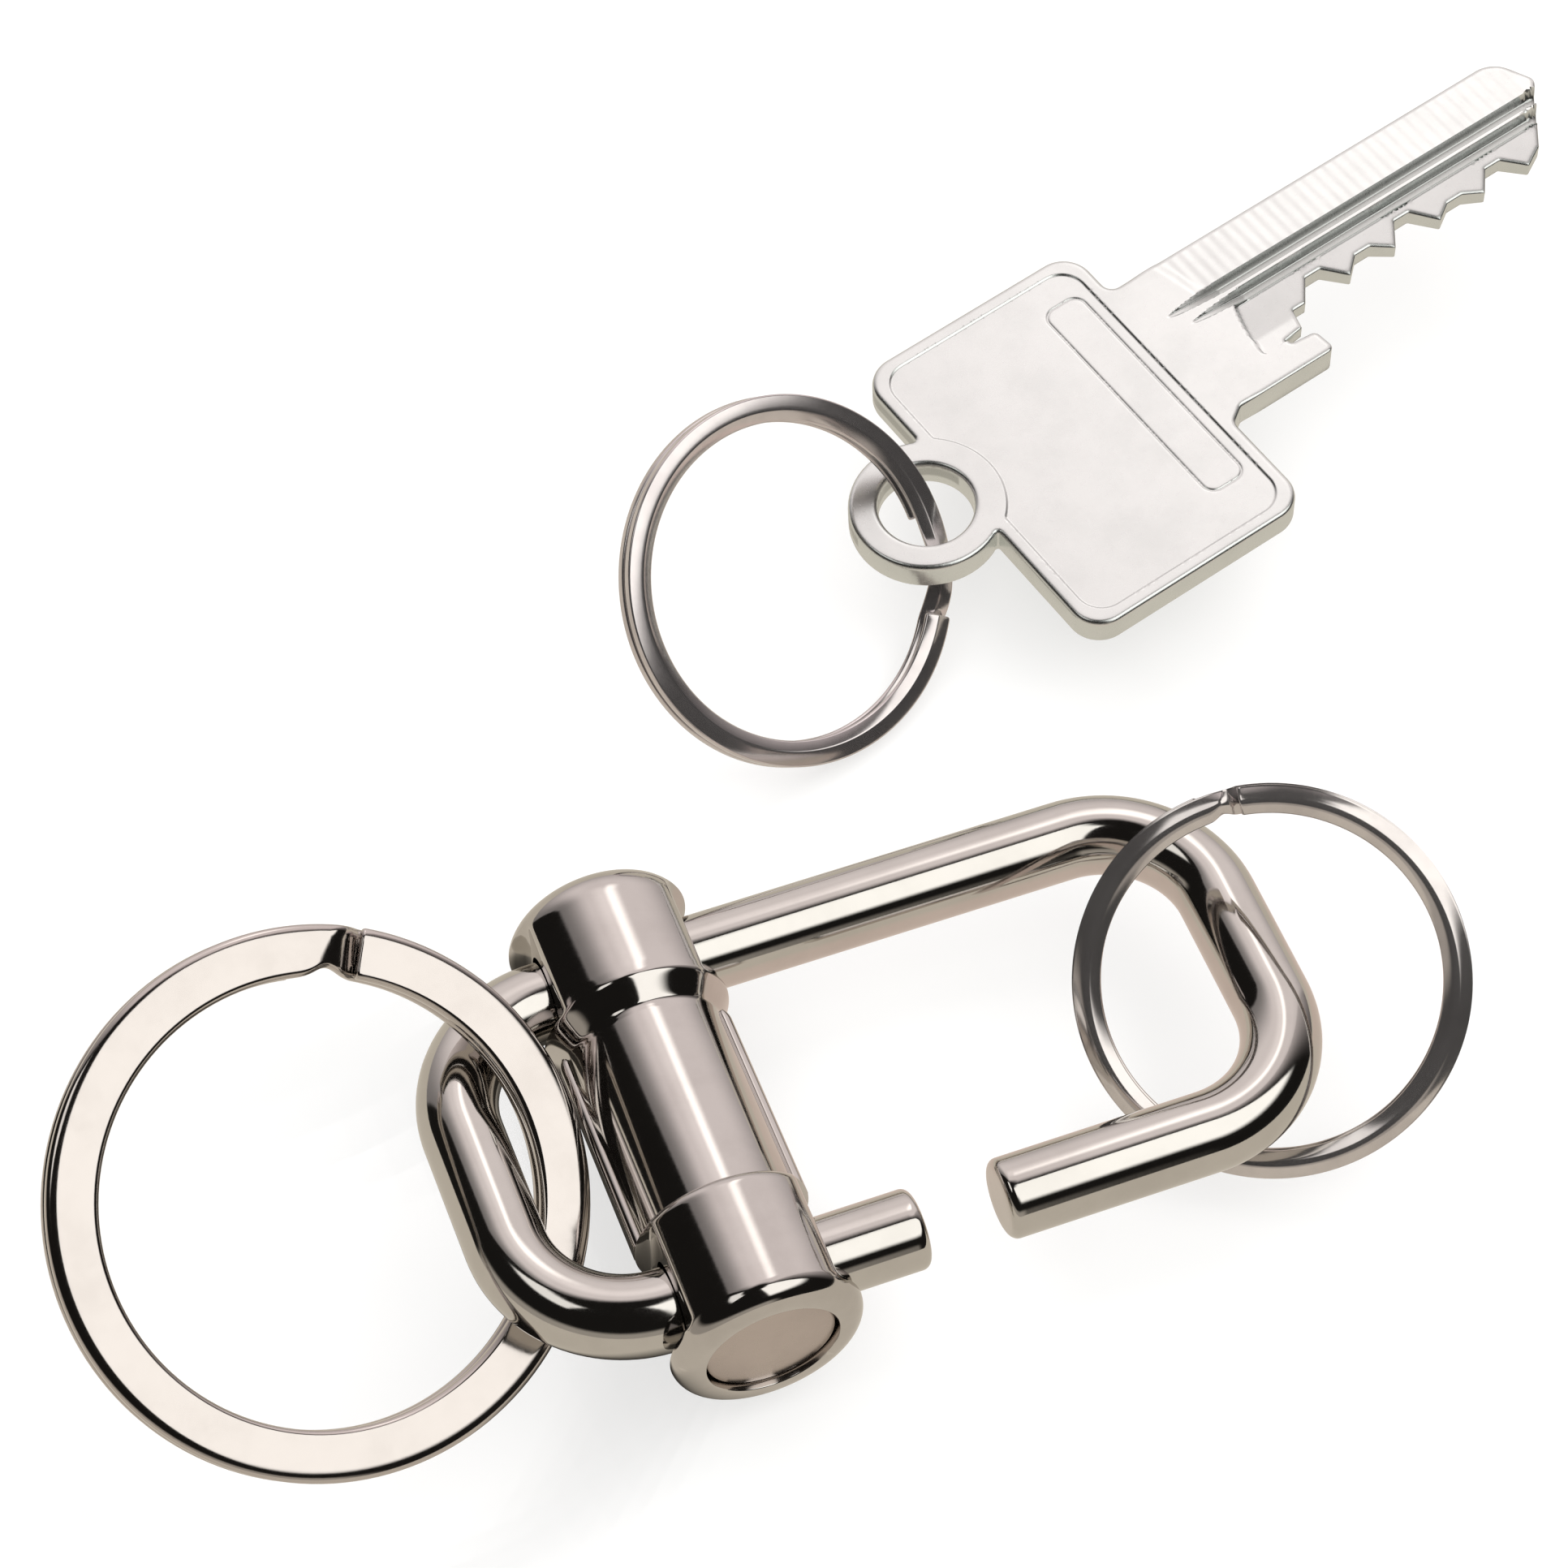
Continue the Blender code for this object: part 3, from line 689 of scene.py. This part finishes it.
def build_split_rings():
    """The flat ring and the small ring on the shackle, and the loose ring that carries the key."""
    flat_strip = metal("flat strip nickel", (0.59, 0.55, 0.525), (0.55, 0.51, 0.485), 0.08, rubbed=0.3)
    round_strip = metal(
        "round strip steel", (0.66, 0.625, 0.61), (0.56, 0.525, 0.515), 0.10,
        spread=0.03, scratch=0.01, metallic=0.93,
    )
    dark_strip = metal(
        "dark strip steel", (0.68, 0.64, 0.635), (0.58, 0.54, 0.54), 0.12,
        spread=0.03, scratch=0.01, metallic=0.94,
    )
    build_split_ring(
        "flat_split_ring", "big_split_ring", "big_ring", BIG_RING, flat_section,
        flat_strip,
    )
    build_split_ring(
        "shackle_split_ring", "small_split_ring", "small_ring", SMALL_RING, roof_section,
        round_strip,
    )
    build_split_ring(
        "loose_split_ring", "key_split_ring", "key_ring", LOOSE_RING, ridged_section,
        dark_strip,
    )


# ---------------------------------------------------------------- key

def key_matrix():
    """Frame of the key: origin in the middle of the ear's hole on the upper face."""
    joint = next(j for j in frame["joints"] if j["name"] == "key_swing")
    normal = Vector(joint["axis"]).normalized()
    along = Vector(KEY_ALONG)
    along = (along - normal * along.dot(normal)).normalized()
    across = normal.cross(along)
    turn = Matrix((along, across, normal)).transposed().to_4x4()
    origin = Vector(joint["pos_m"]) + normal * KEY_THICKNESS / 2 * MM
    return Matrix.Translation(origin) @ turn


def fillet(points, radii):
    """A closed outline with its corners rounded and its sides split into short edges."""
    step = 0.22
    count = len(points)
    out = []
    for i in range(count):
        p = np.array(points[i], float)
        a = np.array(points[i - 1], float) - p
        b = np.array(points[(i + 1) % count], float) - p
        la, lb = np.linalg.norm(a), np.linalg.norm(b)
        a, b = a / la, b / lb
        half = math.acos(max(-1.0, min(1.0, float(a @ b)))) / 2
        radius = min(radii[i], 0.49 * min(la, lb) * math.tan(half))
        if radius < 0.02 or half > math.radians(88):
            out.append(p)
            continue
        reach = radius / math.tan(half)
        centre = p + (a + b) / np.linalg.norm(a + b) * (radius / math.sin(half))
        first, last = p + a * reach - centre, p + b * reach - centre
        sweep = math.pi - 2 * half
        turn = math.copysign(1.0, first[0] * last[1] - first[1] * last[0])
        steps = max(3, int(sweep * radius / 0.12))
        for k in range(steps + 1):
            angle = turn * sweep * k / steps
            c, s = math.cos(angle), math.sin(angle)
            out.append(centre + np.array((c * first[0] - s * first[1], s * first[0] + c * first[1])))
    dense = []
    for a, b in zip(out, out[1:] + out[:1]):
        parts = max(1, int(math.ceil(np.linalg.norm(b - a) / step)))
        dense += [a + (b - a) * k / parts for k in range(parts)]
    return np.array(dense)


def key_outline():
    """Outline of the whole key: ear, bow, blade to its tip, back along the cuts and the shoulder."""
    angle = math.degrees(math.acos(BOW_LEFT / KEY_EAR))
    ear = arc(0, 0, KEY_EAR, 360 - angle, angle, 40)
    corners = [(x, y, 0.0) for x, y in ear]
    corners[0] = (*ear[0], EAR_ROUND)
    corners[-1] = (*ear[-1], EAR_ROUND)
    corners += [
        (BOW_LEFT, BOW_TOP, 2.4), (BOW_RIGHT, BOW_TOP, BOW_ROUND), (BOW_RIGHT, BLADE_TOP, 0.8),
        (BLADE_TIP - 1.4, BLADE_TOP, 2.2), (BLADE_TIP, BLADE_TOP - 3.0, 0.6),
        (BLADE_TIP - 3.4, -0.9, CUT_ROUND), (CUT_START, CUT_EDGE, CUT_ROUND),
    ]
    for i, depth in enumerate(CUT_DEPTHS):
        middle = CUT_START - CUT_PITCH * (i + 0.55)
        floor = CUT_EDGE + depth
        corners += [(middle + 0.75, floor, CUT_ROUND), (middle - 0.5, floor, CUT_ROUND)]
        corners += [(CUT_START - CUT_PITCH * (i + 1), CUT_EDGE, 0.12)]
    corners += [*SHOULDER, (BOW_RIGHT, BOW_BOTTOM, BOW_ROUND), (BOW_LEFT, BOW_BOTTOM, BOW_ROUND)]
    return fillet([(x, y) for x, y, _ in corners], [radius for _, _, radius in corners])


def box_outline(left, right, bottom, top, corner):
    """Closed outline of a rectangle with rounded corners."""
    return fillet([(left, top), (right, top), (right, bottom), (left, bottom)], [corner] * 4)


def normals(loop):
    """Unit vectors square to a closed outline, one at each of its points."""
    tangent = np.roll(loop, -1, axis=0) - np.roll(loop, 1, axis=0)
    tangent /= np.linalg.norm(tangent, axis=1)[:, None] + 1e-12
    return np.stack([-tangent[:, 1], tangent[:, 0]], axis=1)


def distance_to(points, loop):
    """Unsigned distance of points to a closed outline, and whether each is inside."""
    best = np.full(len(points), 1e9)
    inside = np.zeros(len(points), bool)
    for (ax, ay), (bx, by) in zip(loop, np.roll(loop, -1, axis=0)):
        dx, dy = bx - ax, by - ay
        along = (points[:, 0] - ax) * dx + (points[:, 1] - ay) * dy
        t = np.clip(along / (dx * dx + dy * dy + 1e-12), 0, 1)
        gap = np.hypot(points[:, 0] - ax - t * dx, points[:, 1] - ay - t * dy)
        best = np.minimum(best, gap)
        crosses = (ay > points[:, 1]) != (by > points[:, 1])
        with np.errstate(divide="ignore", invalid="ignore"):
            at = ax + (points[:, 1] - ay) * dx / (dy if dy else 1e-12)
        inside ^= crosses & (points[:, 0] < at)
    return best, inside


def rounded_box(x, y, left, right, bottom, top, corner):
    """Signed distance to a rounded rectangle, negative inside."""
    cx, cy = (left + right) / 2, (bottom + top) / 2
    qx = np.abs(x - cx) - (right - left) / 2 + corner
    qy = np.abs(y - cy) - (top - bottom) / 2 + corner
    return np.hypot(np.maximum(qx, 0), np.maximum(qy, 0)) + np.minimum(np.maximum(qx, qy), 0) - corner


def cutter_groove(x, y, middle, half, depth, start):
    """Groove of a round cutter that comes in from the tip and ends in a point."""
    share = np.sqrt(np.clip((x - start) / GROOVE_POINT, 0.0004, 1.0))
    across = np.clip(np.abs(y - middle) / (half * share), 0, 1)
    return depth * share ** 2 * (1 - across ** 5)


def sunk_field(x, y):
    """1 on the bow inside the rim and outside the ear's land."""
    ear = EAR_LAND - np.hypot(x, y)
    return 1 - smoothstep(-0.14, 0.02, np.maximum(rounded_box(x, y, *FIELD_BOX), ear))


def flank(x, y, top):
    """1 on the milled lower side of the blade, which starts in a crescent at the shoulder."""
    start = smoothstep(0.0, 0.4, x - FLANK_START - FLANK_BEND * (y - FLANK_LOW) ** 2)
    return start * plateau(y, FLANK_LOW, FLANK_LOW + 0.2, top, top + 0.2)


def key_top(x, y):
    """Depth of the upper face below the rim."""
    depth = FIELD_DEPTH * sunk_field(x, y)
    depth += LABEL_DEPTH * np.exp(-(rounded_box(x, y, *LABEL_BOX) / LABEL_WIDTH) ** 2)
    depth += FLAT_DEPTH * smoothstep(*FLAT_START, x + 0.25 * (y - 5)) * smoothstep(*FLAT_LOW, y)
    cut = np.maximum(*[cutter_groove(x, y, *groove) for groove in TOP_GROOVES])
    side = (FLANK_DEPTH + FLANK_TAPER * np.clip(0.75 - y, 0, 3)) * flank(x, y, TOP_FLANK_HIGH)
    return depth + np.maximum(cut, side)


def key_bottom(x, y):
    """Height of the lower face above its own rim."""
    depth = FIELD_DEPTH * sunk_field(x, y)
    side = FLANK_DEPTH * flank(x, y, BOTTOM_FLANK_HIGH)
    return depth + np.maximum(cutter_groove(x, y, *BOTTOM_GROOVE), side)


def rows_beside_edges(outline, hole):
    """Points in rows beside the outline and the hole, dense where the edge is rounded."""
    rows = []
    for loop in (outline, hole):
        for inset in (0.03, 0.09, 0.18, 0.28, 0.38, 0.55, 0.8):
            for sign in (1, -1):
                beside = loop + sign * normals(loop) * inset
                rows.append(np.concatenate([beside, np.full((len(loop), 1), inset)], 1))
    rows = np.concatenate(rows)
    gap, inside = distance_to(rows[:, :2], outline)
    centre_gap = np.hypot(rows[:, 0], rows[:, 1])
    keep = inside & (centre_gap > KEY_HOLE)
    keep &= np.minimum(gap, np.abs(centre_gap - KEY_HOLE)) > rows[:, 2] * 0.93
    return rows[keep][:, :2]


def rows_beside_lines(outline):
    """Points in rows beside the field's edge, the label's line and the ear's land."""
    land = np.array(arc(0, 0, EAR_LAND, -85, 85, 90))
    rows = []
    for loop in (box_outline(*FIELD_BOX), box_outline(*LABEL_BOX), land):
        for inset in (-0.2, -0.14, -0.09, -0.045, 0.0, 0.045, 0.09, 0.14, 0.2):
            rows.append(loop + normals(loop) * inset)
    rows = np.concatenate(rows)
    clear = 0.85
    gap, inside = distance_to(rows, outline)
    return rows[inside & (gap > clear) & (np.hypot(rows[:, 0], rows[:, 1]) > KEY_HOLE + clear)]


def grid_on_faces(outline):
    """A grid on the bow, and a finer one on the blade with its finest rows along the grooves."""
    bow = np.meshgrid(np.arange(-5.2, 21.8, 0.3), np.arange(-15, 11.4, 0.3))
    columns = (np.arange(BLADE_GRID, 28.2, 0.15), np.arange(28.3, 56, 0.4))
    lines = (np.arange(-6.4, 0.4, 0.16), np.arange(0.45, 3.3, 0.05), np.arange(3.4, 6.8, 0.2))
    blade = np.meshgrid(np.concatenate(columns), np.concatenate(lines))
    grid = np.concatenate([np.stack([x.ravel(), y.ravel()], 1) for x, y in (bow, blade)])
    clear = 0.6
    gap, inside = distance_to(grid, outline)
    return grid[inside & (gap > clear) & (np.hypot(grid[:, 0], grid[:, 1]) - KEY_HOLE > clear)]


def key_points(outline, hole):
    """Points inside the face mesh: the rows, and the grid wherever no row comes close on the bow."""
    rows = np.concatenate([rows_beside_edges(outline, hole), rows_beside_lines(outline)])
    cell = 0.13
    taken = {(round(x / cell), round(y / cell)) for x, y in rows.tolist()}
    free = [
        (x, y) for x, y in grid_on_faces(outline).tolist()
        if x > BLADE_GRID - 0.05 or (round(x / cell), round(y / cell)) not in taken
    ]
    return np.concatenate([rows, np.array(free)])


def key_triangles():
    """Points and triangles of the key's flat face, and each point's distance to the nearest edge."""
    outline = key_outline()
    hole = np.array(arc(0, 0, KEY_HOLE, 0, 360, 96)[:-1])
    corners = [Vector(p) for p in np.concatenate([outline, hole, key_points(outline, hole)])]
    first, second = len(outline), len(hole)
    edges = [(i, (i + 1) % first) for i in range(first)]
    edges += [(first + i, first + (i + 1) % second) for i in range(second)]
    flat, _, triangles, *_ = delaunay_2d_cdt(corners, edges, [], 1, 1e-5)
    flat = np.array([(v.x, v.y) for v in flat])
    triangles = np.array(triangles)
    centre = flat[triangles].mean(axis=1)
    _, inside = distance_to(centre, outline)
    triangles = triangles[inside & (np.hypot(centre[:, 0], centre[:, 1]) > KEY_HOLE - 0.01)]
    used = np.unique(triangles)
    index = np.full(len(flat), -1)
    index[used] = np.arange(len(used))
    flat = flat[used]
    gap, _ = distance_to(flat, outline)
    gap = np.minimum(gap, np.abs(np.hypot(flat[:, 0], flat[:, 1]) - KEY_HOLE))
    return flat, index[triangles], gap


def build_key():
    """Upper and lower face with rounded edges and their cut depths, joined by a wall all round."""
    flat, triangles, gap = key_triangles()
    inset = np.maximum(EDGE_ROUND - gap, 0)
    x, y = flat[:, 0], flat[:, 1]
    drop = EDGE_ROUND - np.sqrt(EDGE_ROUND ** 2 - inset ** 2)
    drop = drop * (1 - (1 - BLADE_EDGE_SHARE) * smoothstep(*BLADE_EDGE_FROM, x))
    top = -key_top(x, y) - drop
    bottom = -KEY_THICKNESS + key_bottom(x, y) + drop
    bottom = np.minimum(bottom, top - LEAST_THICKNESS)
    count = len(flat)
    points = np.concatenate([np.stack([x, y, top], 1), np.stack([x, y, bottom], 1)])
    faces = [tuple(t) for t in triangles]
    faces += [(a + count, c + count, b + count) for a, b, c in triangles]
    sides = dict.fromkeys(side for a, b, c in triangles for side in ((a, b), (b, c), (c, a)))
    faces += [(a, a + count, b + count, b) for a, b in sides if (b, a) not in sides]
    item = make_object(
        "cylinder_key", to_world(points, key_matrix()), faces, "key_body", "key", KEY_SHARP,
    )
    return use(item, key_metal())


def key_metal():
    """Bright nickel with the cutter's ripple on the blade's upper flat, and painted shade in the upper
    grooves.
    """
    material = metal("key nickel", (0.77, 0.80, 0.79), (0.72, 0.75, 0.74), 0.26, spread=0.02, scratch=0.01)
    tree = material.node_tree
    n = Nodes(tree)
    matrix = key_matrix()
    place = n.add("ShaderNodeTexCoord").outputs["Object"]
    local = n.add("ShaderNodeVectorMath", operation="SUBTRACT")
    n.set(local, {0: place, 1: tuple(matrix.translation)})
    level = []
    for axis in (0, 1, 2):
        dot = n.add("ShaderNodeVectorMath", operation="DOT_PRODUCT")
        n.set(dot, {0: local.outputs[0], 1: tuple(matrix.col[axis][:3])})
        level.append(dot.outputs["Value"])
    along, across, up = level
    wave = n.math("SINE", n.math("MULTIPLY", along, 2 * math.pi / (RIPPLE_PITCH * MM)))
    ripple = n.math("MULTIPLY", wave, n.noise(place, 700.0))
    begun = n.ramp(along, *[x * MM for x in RIPPLE_START])
    where = n.math("MULTIPLY", begun, n.ramp(across, *[y * MM for y in FLAT_LOW]))
    bump = n.add("ShaderNodeBump")
    n.set(bump, {
        "Strength": 0.25, "Distance": RIPPLE_HEIGHT * MM, "Height": n.math("MULTIPLY", ripple, where),
        "Normal": tree.nodes["Bump"].outputs[0],
    })
    # Painted shade: the upper grooves get darker the deeper they are; the milled flank and the lower face
    # stay clear.
    sunk = n.ramp(up, -0.12 * MM, -0.6 * MM, 0.0, 0.45)
    groove_shade = n.math("MULTIPLY", sunk, n.ramp(across, 0.5 * MM, 0.7 * MM))
    groove_shade = n.math("MULTIPLY", groove_shade, n.ramp(up, -1.4 * MM, -1.1 * MM))
    shader = tree.nodes["Principled BSDF"]
    tone = shader.inputs["Base Color"].links[0].from_socket
    n.set(shader, {"Base Color": n.mix(groove_shade, tone, (0.16, 0.165, 0.15, 1.0)), "Normal": bump.outputs[0]})
    return material


# ---------------------------------------------------------------- studio

def window(n, azimuth, half, soft, low, soft_low, high, soft_high):
    """Mask of one window in the surroundings, in degrees."""
    a = math.radians(azimuth)
    unit = n.add("ShaderNodeVectorMath", operation="NORMALIZE")
    n.set(unit, {0: n.add("ShaderNodeTexCoord").outputs["Generated"]})
    ahead = n.add("ShaderNodeVectorMath", operation="DOT_PRODUCT")
    n.set(ahead, {0: unit.outputs[0], 1: (math.sin(a), -math.cos(a), 0.0)})
    aside = n.add("ShaderNodeVectorMath", operation="DOT_PRODUCT")
    n.set(aside, {0: unit.outputs[0], 1: (math.cos(a), math.sin(a), 0.0)})
    split = n.add("ShaderNodeSeparateXYZ")
    n.set(split, {0: unit.outputs[0]})
    turn = n.math("ABSOLUTE", n.math("ARCTAN2", aside.outputs["Value"], ahead.outputs["Value"]))
    rise = n.math("ARCSINE", split.outputs[2])
    wide = n.ramp(turn, math.radians(half - soft), math.radians(half + soft), 1.0, 0.0)
    bottom = n.ramp(rise, math.radians(low - soft_low), math.radians(low + soft_low))
    top = n.ramp(rise, math.radians(high - soft_high), math.radians(high + soft_high), 1.0, 0.0)
    return n.math("MULTIPLY", n.math("MULTIPLY", wide, bottom), top)


# Windows in degrees, each as azimuth, half width, edge, lower end, its edge, upper end, its edge, and then
# its colour and strength.
STUDIO = (
    (47, 36, 2.5, 37, 6, 80, 3, (1.0, 0.985, 0.95), 1.6),
    (-92, 27, 2.5, 56, 2.5, 71, 2.5, (1.0, 0.98, 0.95), 1.2),
    (169, 57, 1.5, -30, 5, 76, 5, (0.97, 0.90, 0.89), 0.25),
    (155, 52, 20, 2, 30, 76, 6, (1.0, 0.90, 0.89), 0.72),
    (149, 6, 5, 41, 6, 60, 5, (1.0, 0.98, 0.95), 0.95),
    (161, 14, 12, 46, 8, 62, 6, (1.0, 0.93, 0.92), 0.25),
    (-50, 62, 5, -30, 5, 14, 5, (0.90, 0.82, 0.72), 0.46),
)
AMBIENT = (0.012, 0.011, 0.010)

# Hollows in the floor: under which node, and how deep in millimetres. In ring radii from the node's
# middle, a hollow is full up to the first reach and has run out at the second.
FLOOR_HOLLOWS = (("big_split_ring", 10.5), ("small_split_ring", 1.6))
HOLLOW_REACH = (0.75, 1.7)
FLOOR_GAP = 0.1 * MM

# How much of the floor's brightness is its own, whatever the lamps do.
PAPER_SHARE = 0.64

# The floor as polished metal sees it, in millimetres from the shackle's middle: a dim oval of painted shade
# from the shackle's left end to the barrel, where the parts shade the floor, and a redder patch to the
# barrel's right, towards the far leg.
SHADE_MIDDLE_X = -19.0
SHADE_HALF_X = 11.0
SHADE_HALF_Y = 20.0
RED_LEFT = (-12.0, -4.0)
RED_NEAR = (-14.0, 2.0)
RED_FAR = (10.0, 16.0)


def build_world():
    """Dark surroundings with the windows in them; only the camera sees a pale backdrop instead."""
    world = bpy.data.worlds.new("studio")
    bpy.context.scene.world = world
    world.use_nodes = True
    tree = world.node_tree
    n = Nodes(tree)
    total = AMBIENT
    for *place, colour, strength in STUDIO:
        tint = n.add("ShaderNodeVectorMath", operation="SCALE")
        n.set(tint, {0: tuple(c * strength for c in colour), "Scale": window(n, *place)})
        joined = n.add("ShaderNodeVectorMath", operation="ADD")
        n.set(joined, {0: total, 1: tint.outputs[0]})
        total = joined.outputs[0]
    seen = n.add("ShaderNodeLightPath").outputs["Is Camera Ray"]
    n.set(tree.nodes["Background"], {"Color": n.mix(seen, total, (0.97, 0.97, 0.965, 1.0))})


def floor_mesh():
    """Pale sheet with a soft hollow under each ring that swings lower than the resting plane."""
    line = np.concatenate([(-1.2, -0.5, -0.2), np.arange(-0.09, 0.09, 0.002), (0.2, 0.5, 1.2)])
    x, y = np.meshgrid(line, line)
    z = np.full_like(x, cad_box[0].z - FLOOR_GAP)
    for node, depth in FLOOR_HOLLOWS:
        low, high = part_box(node)
        middle = (low + high) / 2
        reach = np.hypot(x - middle.x, y - middle.y) / ((high.x - low.x) / 2)
        z -= depth * MM * (1 - smoothstep(*HOLLOW_REACH, reach))
    count = len(line)
    faces = []
    for j in range(count - 1):
        for i in range(count - 1):
            a = j * count + i
            faces.append((a, a + 1, a + count + 1, a + count))
    mesh = bpy.data.meshes.new("floor")
    mesh.from_pydata([tuple(p) for p in np.stack([x.ravel(), y.ravel(), z.ravel()], axis=1)], [], faces)
    return mesh


def floor_paper(n, shader, place):
    """Pale paper that lights itself in part; its normal stays upright, so that no hollow shows."""
    tone = n.mix(n.noise(place, 30.0, 3.0, 0.5), (0.93, 0.93, 0.925, 1.0), (0.95, 0.95, 0.945, 1.0))
    upright = n.add("ShaderNodeCombineXYZ")
    n.set(upright, {2: 1.0})
    n.set(shader, {
        "Base Color": tone, "Roughness": 0.9, "Specular IOR Level": 0.0, "Normal": upright.outputs[0],
    })
    paper = n.add("ShaderNodeEmission")
    n.set(paper, {"Color": (1.0, 1.0, 0.995, 1.0), "Strength": 1.0})
    lit = n.add("ShaderNodeMixShader")
    n.set(lit, {0: PAPER_SHARE, 1: shader.outputs[0], 2: paper.outputs[0]})
    return lit


def floor_glow(n, place):
    """What reflections show of the floor: warm light with the painted shade of the dim oval, and the redder
    patch.
    """
    split = n.add("ShaderNodeSeparateXYZ")
    n.set(split, {0: place})
    x, y = split.outputs[0], split.outputs[1]
    red = n.ramp(y, *[ORIGIN.y + at * MM for at in RED_NEAR])
    red = n.math("MULTIPLY", red, n.ramp(y, *[ORIGIN.y + at * MM for at in RED_FAR], 1.0, 0.0))
    red = n.math("MULTIPLY", red, n.ramp(x, *[ORIGIN.x + at * MM for at in RED_LEFT]))
    # Painted shade: the glow dims in an oval from the shackle's left end to the barrel.
    aside = n.math("SUBTRACT", x, ORIGIN.x + SHADE_MIDDLE_X * MM)
    aside = n.math("MULTIPLY", aside, 1 / (SHADE_HALF_X * MM))
    deep = n.math("MULTIPLY", n.math("SUBTRACT", y, ORIGIN.y), 1 / (SHADE_HALF_Y * MM))
    reach = n.math("ADD", n.math("MULTIPLY", aside, aside), n.math("MULTIPLY", deep, deep))
    glow = n.add("ShaderNodeEmission")
    n.set(glow, {
        "Color": n.mix(red, (0.68, 0.62, 0.53, 1.0), (0.76, 0.63, 0.55, 1.0)),
        "Strength": n.ramp(reach, 0.3, 1.3, 0.08, 1.0),
    })
    return glow


def build_floor():
    """The floor, with one look for the camera and another for reflections."""
    mesh = floor_mesh()
    floor = bpy.data.objects.new("floor", mesh)
    bpy.context.scene.collection.objects.link(floor)
    material = bpy.data.materials.new("pale floor")
    material.use_nodes = True
    tree = material.node_tree
    n = Nodes(tree)
    place = n.add("ShaderNodeTexCoord").outputs["Object"]
    lit = floor_paper(n, tree.nodes["Principled BSDF"], place)
    glow = floor_glow(n, place)
    seen = n.add("ShaderNodeLightPath").outputs["Is Glossy Ray"]
    blend = n.add("ShaderNodeMixShader")
    n.set(blend, {0: seen, 1: lit.outputs[0], 2: glow.outputs[0]})
    n.set(tree.nodes["Material Output"], {0: blend.outputs[0]})
    mesh.materials.append(material)


def build_lights():
    """Two soft lamps that look at the middle and show in no reflection."""
    for name, place, size, power in (
        ("overhead", (0.0, 0.0, 0.9), 1.6, 14.0),
        ("front_fill", (-0.5, -0.9, 0.7), 1.2, 4.0),
    ):
        data = bpy.data.lights.new(name, "AREA")
        data.size = size
        data.energy = power
        lamp = bpy.data.objects.new(name, data)
        lamp.location = place
        lamp.rotation_euler = (-Vector(place)).to_track_quat("-Z", "Y").to_euler()
        lamp.visible_glossy = False
        bpy.context.scene.collection.objects.link(lamp)


def build_camera():
    """The camera, turned towards its target."""
    a, e = math.radians(CAMERA_AZIMUTH), math.radians(CAMERA_ELEVATION)
    back = Vector((math.sin(a) * math.cos(e), -math.cos(a) * math.cos(e), math.sin(e)))
    data = bpy.data.cameras.new("camera")
    data.lens = CAMERA_LENS
    data.sensor_width = CAMERA_SENSOR
    camera = bpy.data.objects.new("camera", data)
    bpy.context.scene.collection.objects.link(camera)
    camera.location = ORIGIN + Vector(CAMERA_TARGET) * MM + back * CAMERA_DISTANCE * MM
    camera.rotation_euler = (-back).to_track_quat("-Z", "Y").to_euler()
    bpy.context.scene.camera = camera


build_world()
build_floor()
build_lights()
build_camera()
build_wire()
build_barrel()
build_button()
build_split_rings()
build_key()
finish_hidden_pieces()

bpy.context.scene.view_settings.view_transform = "Standard"
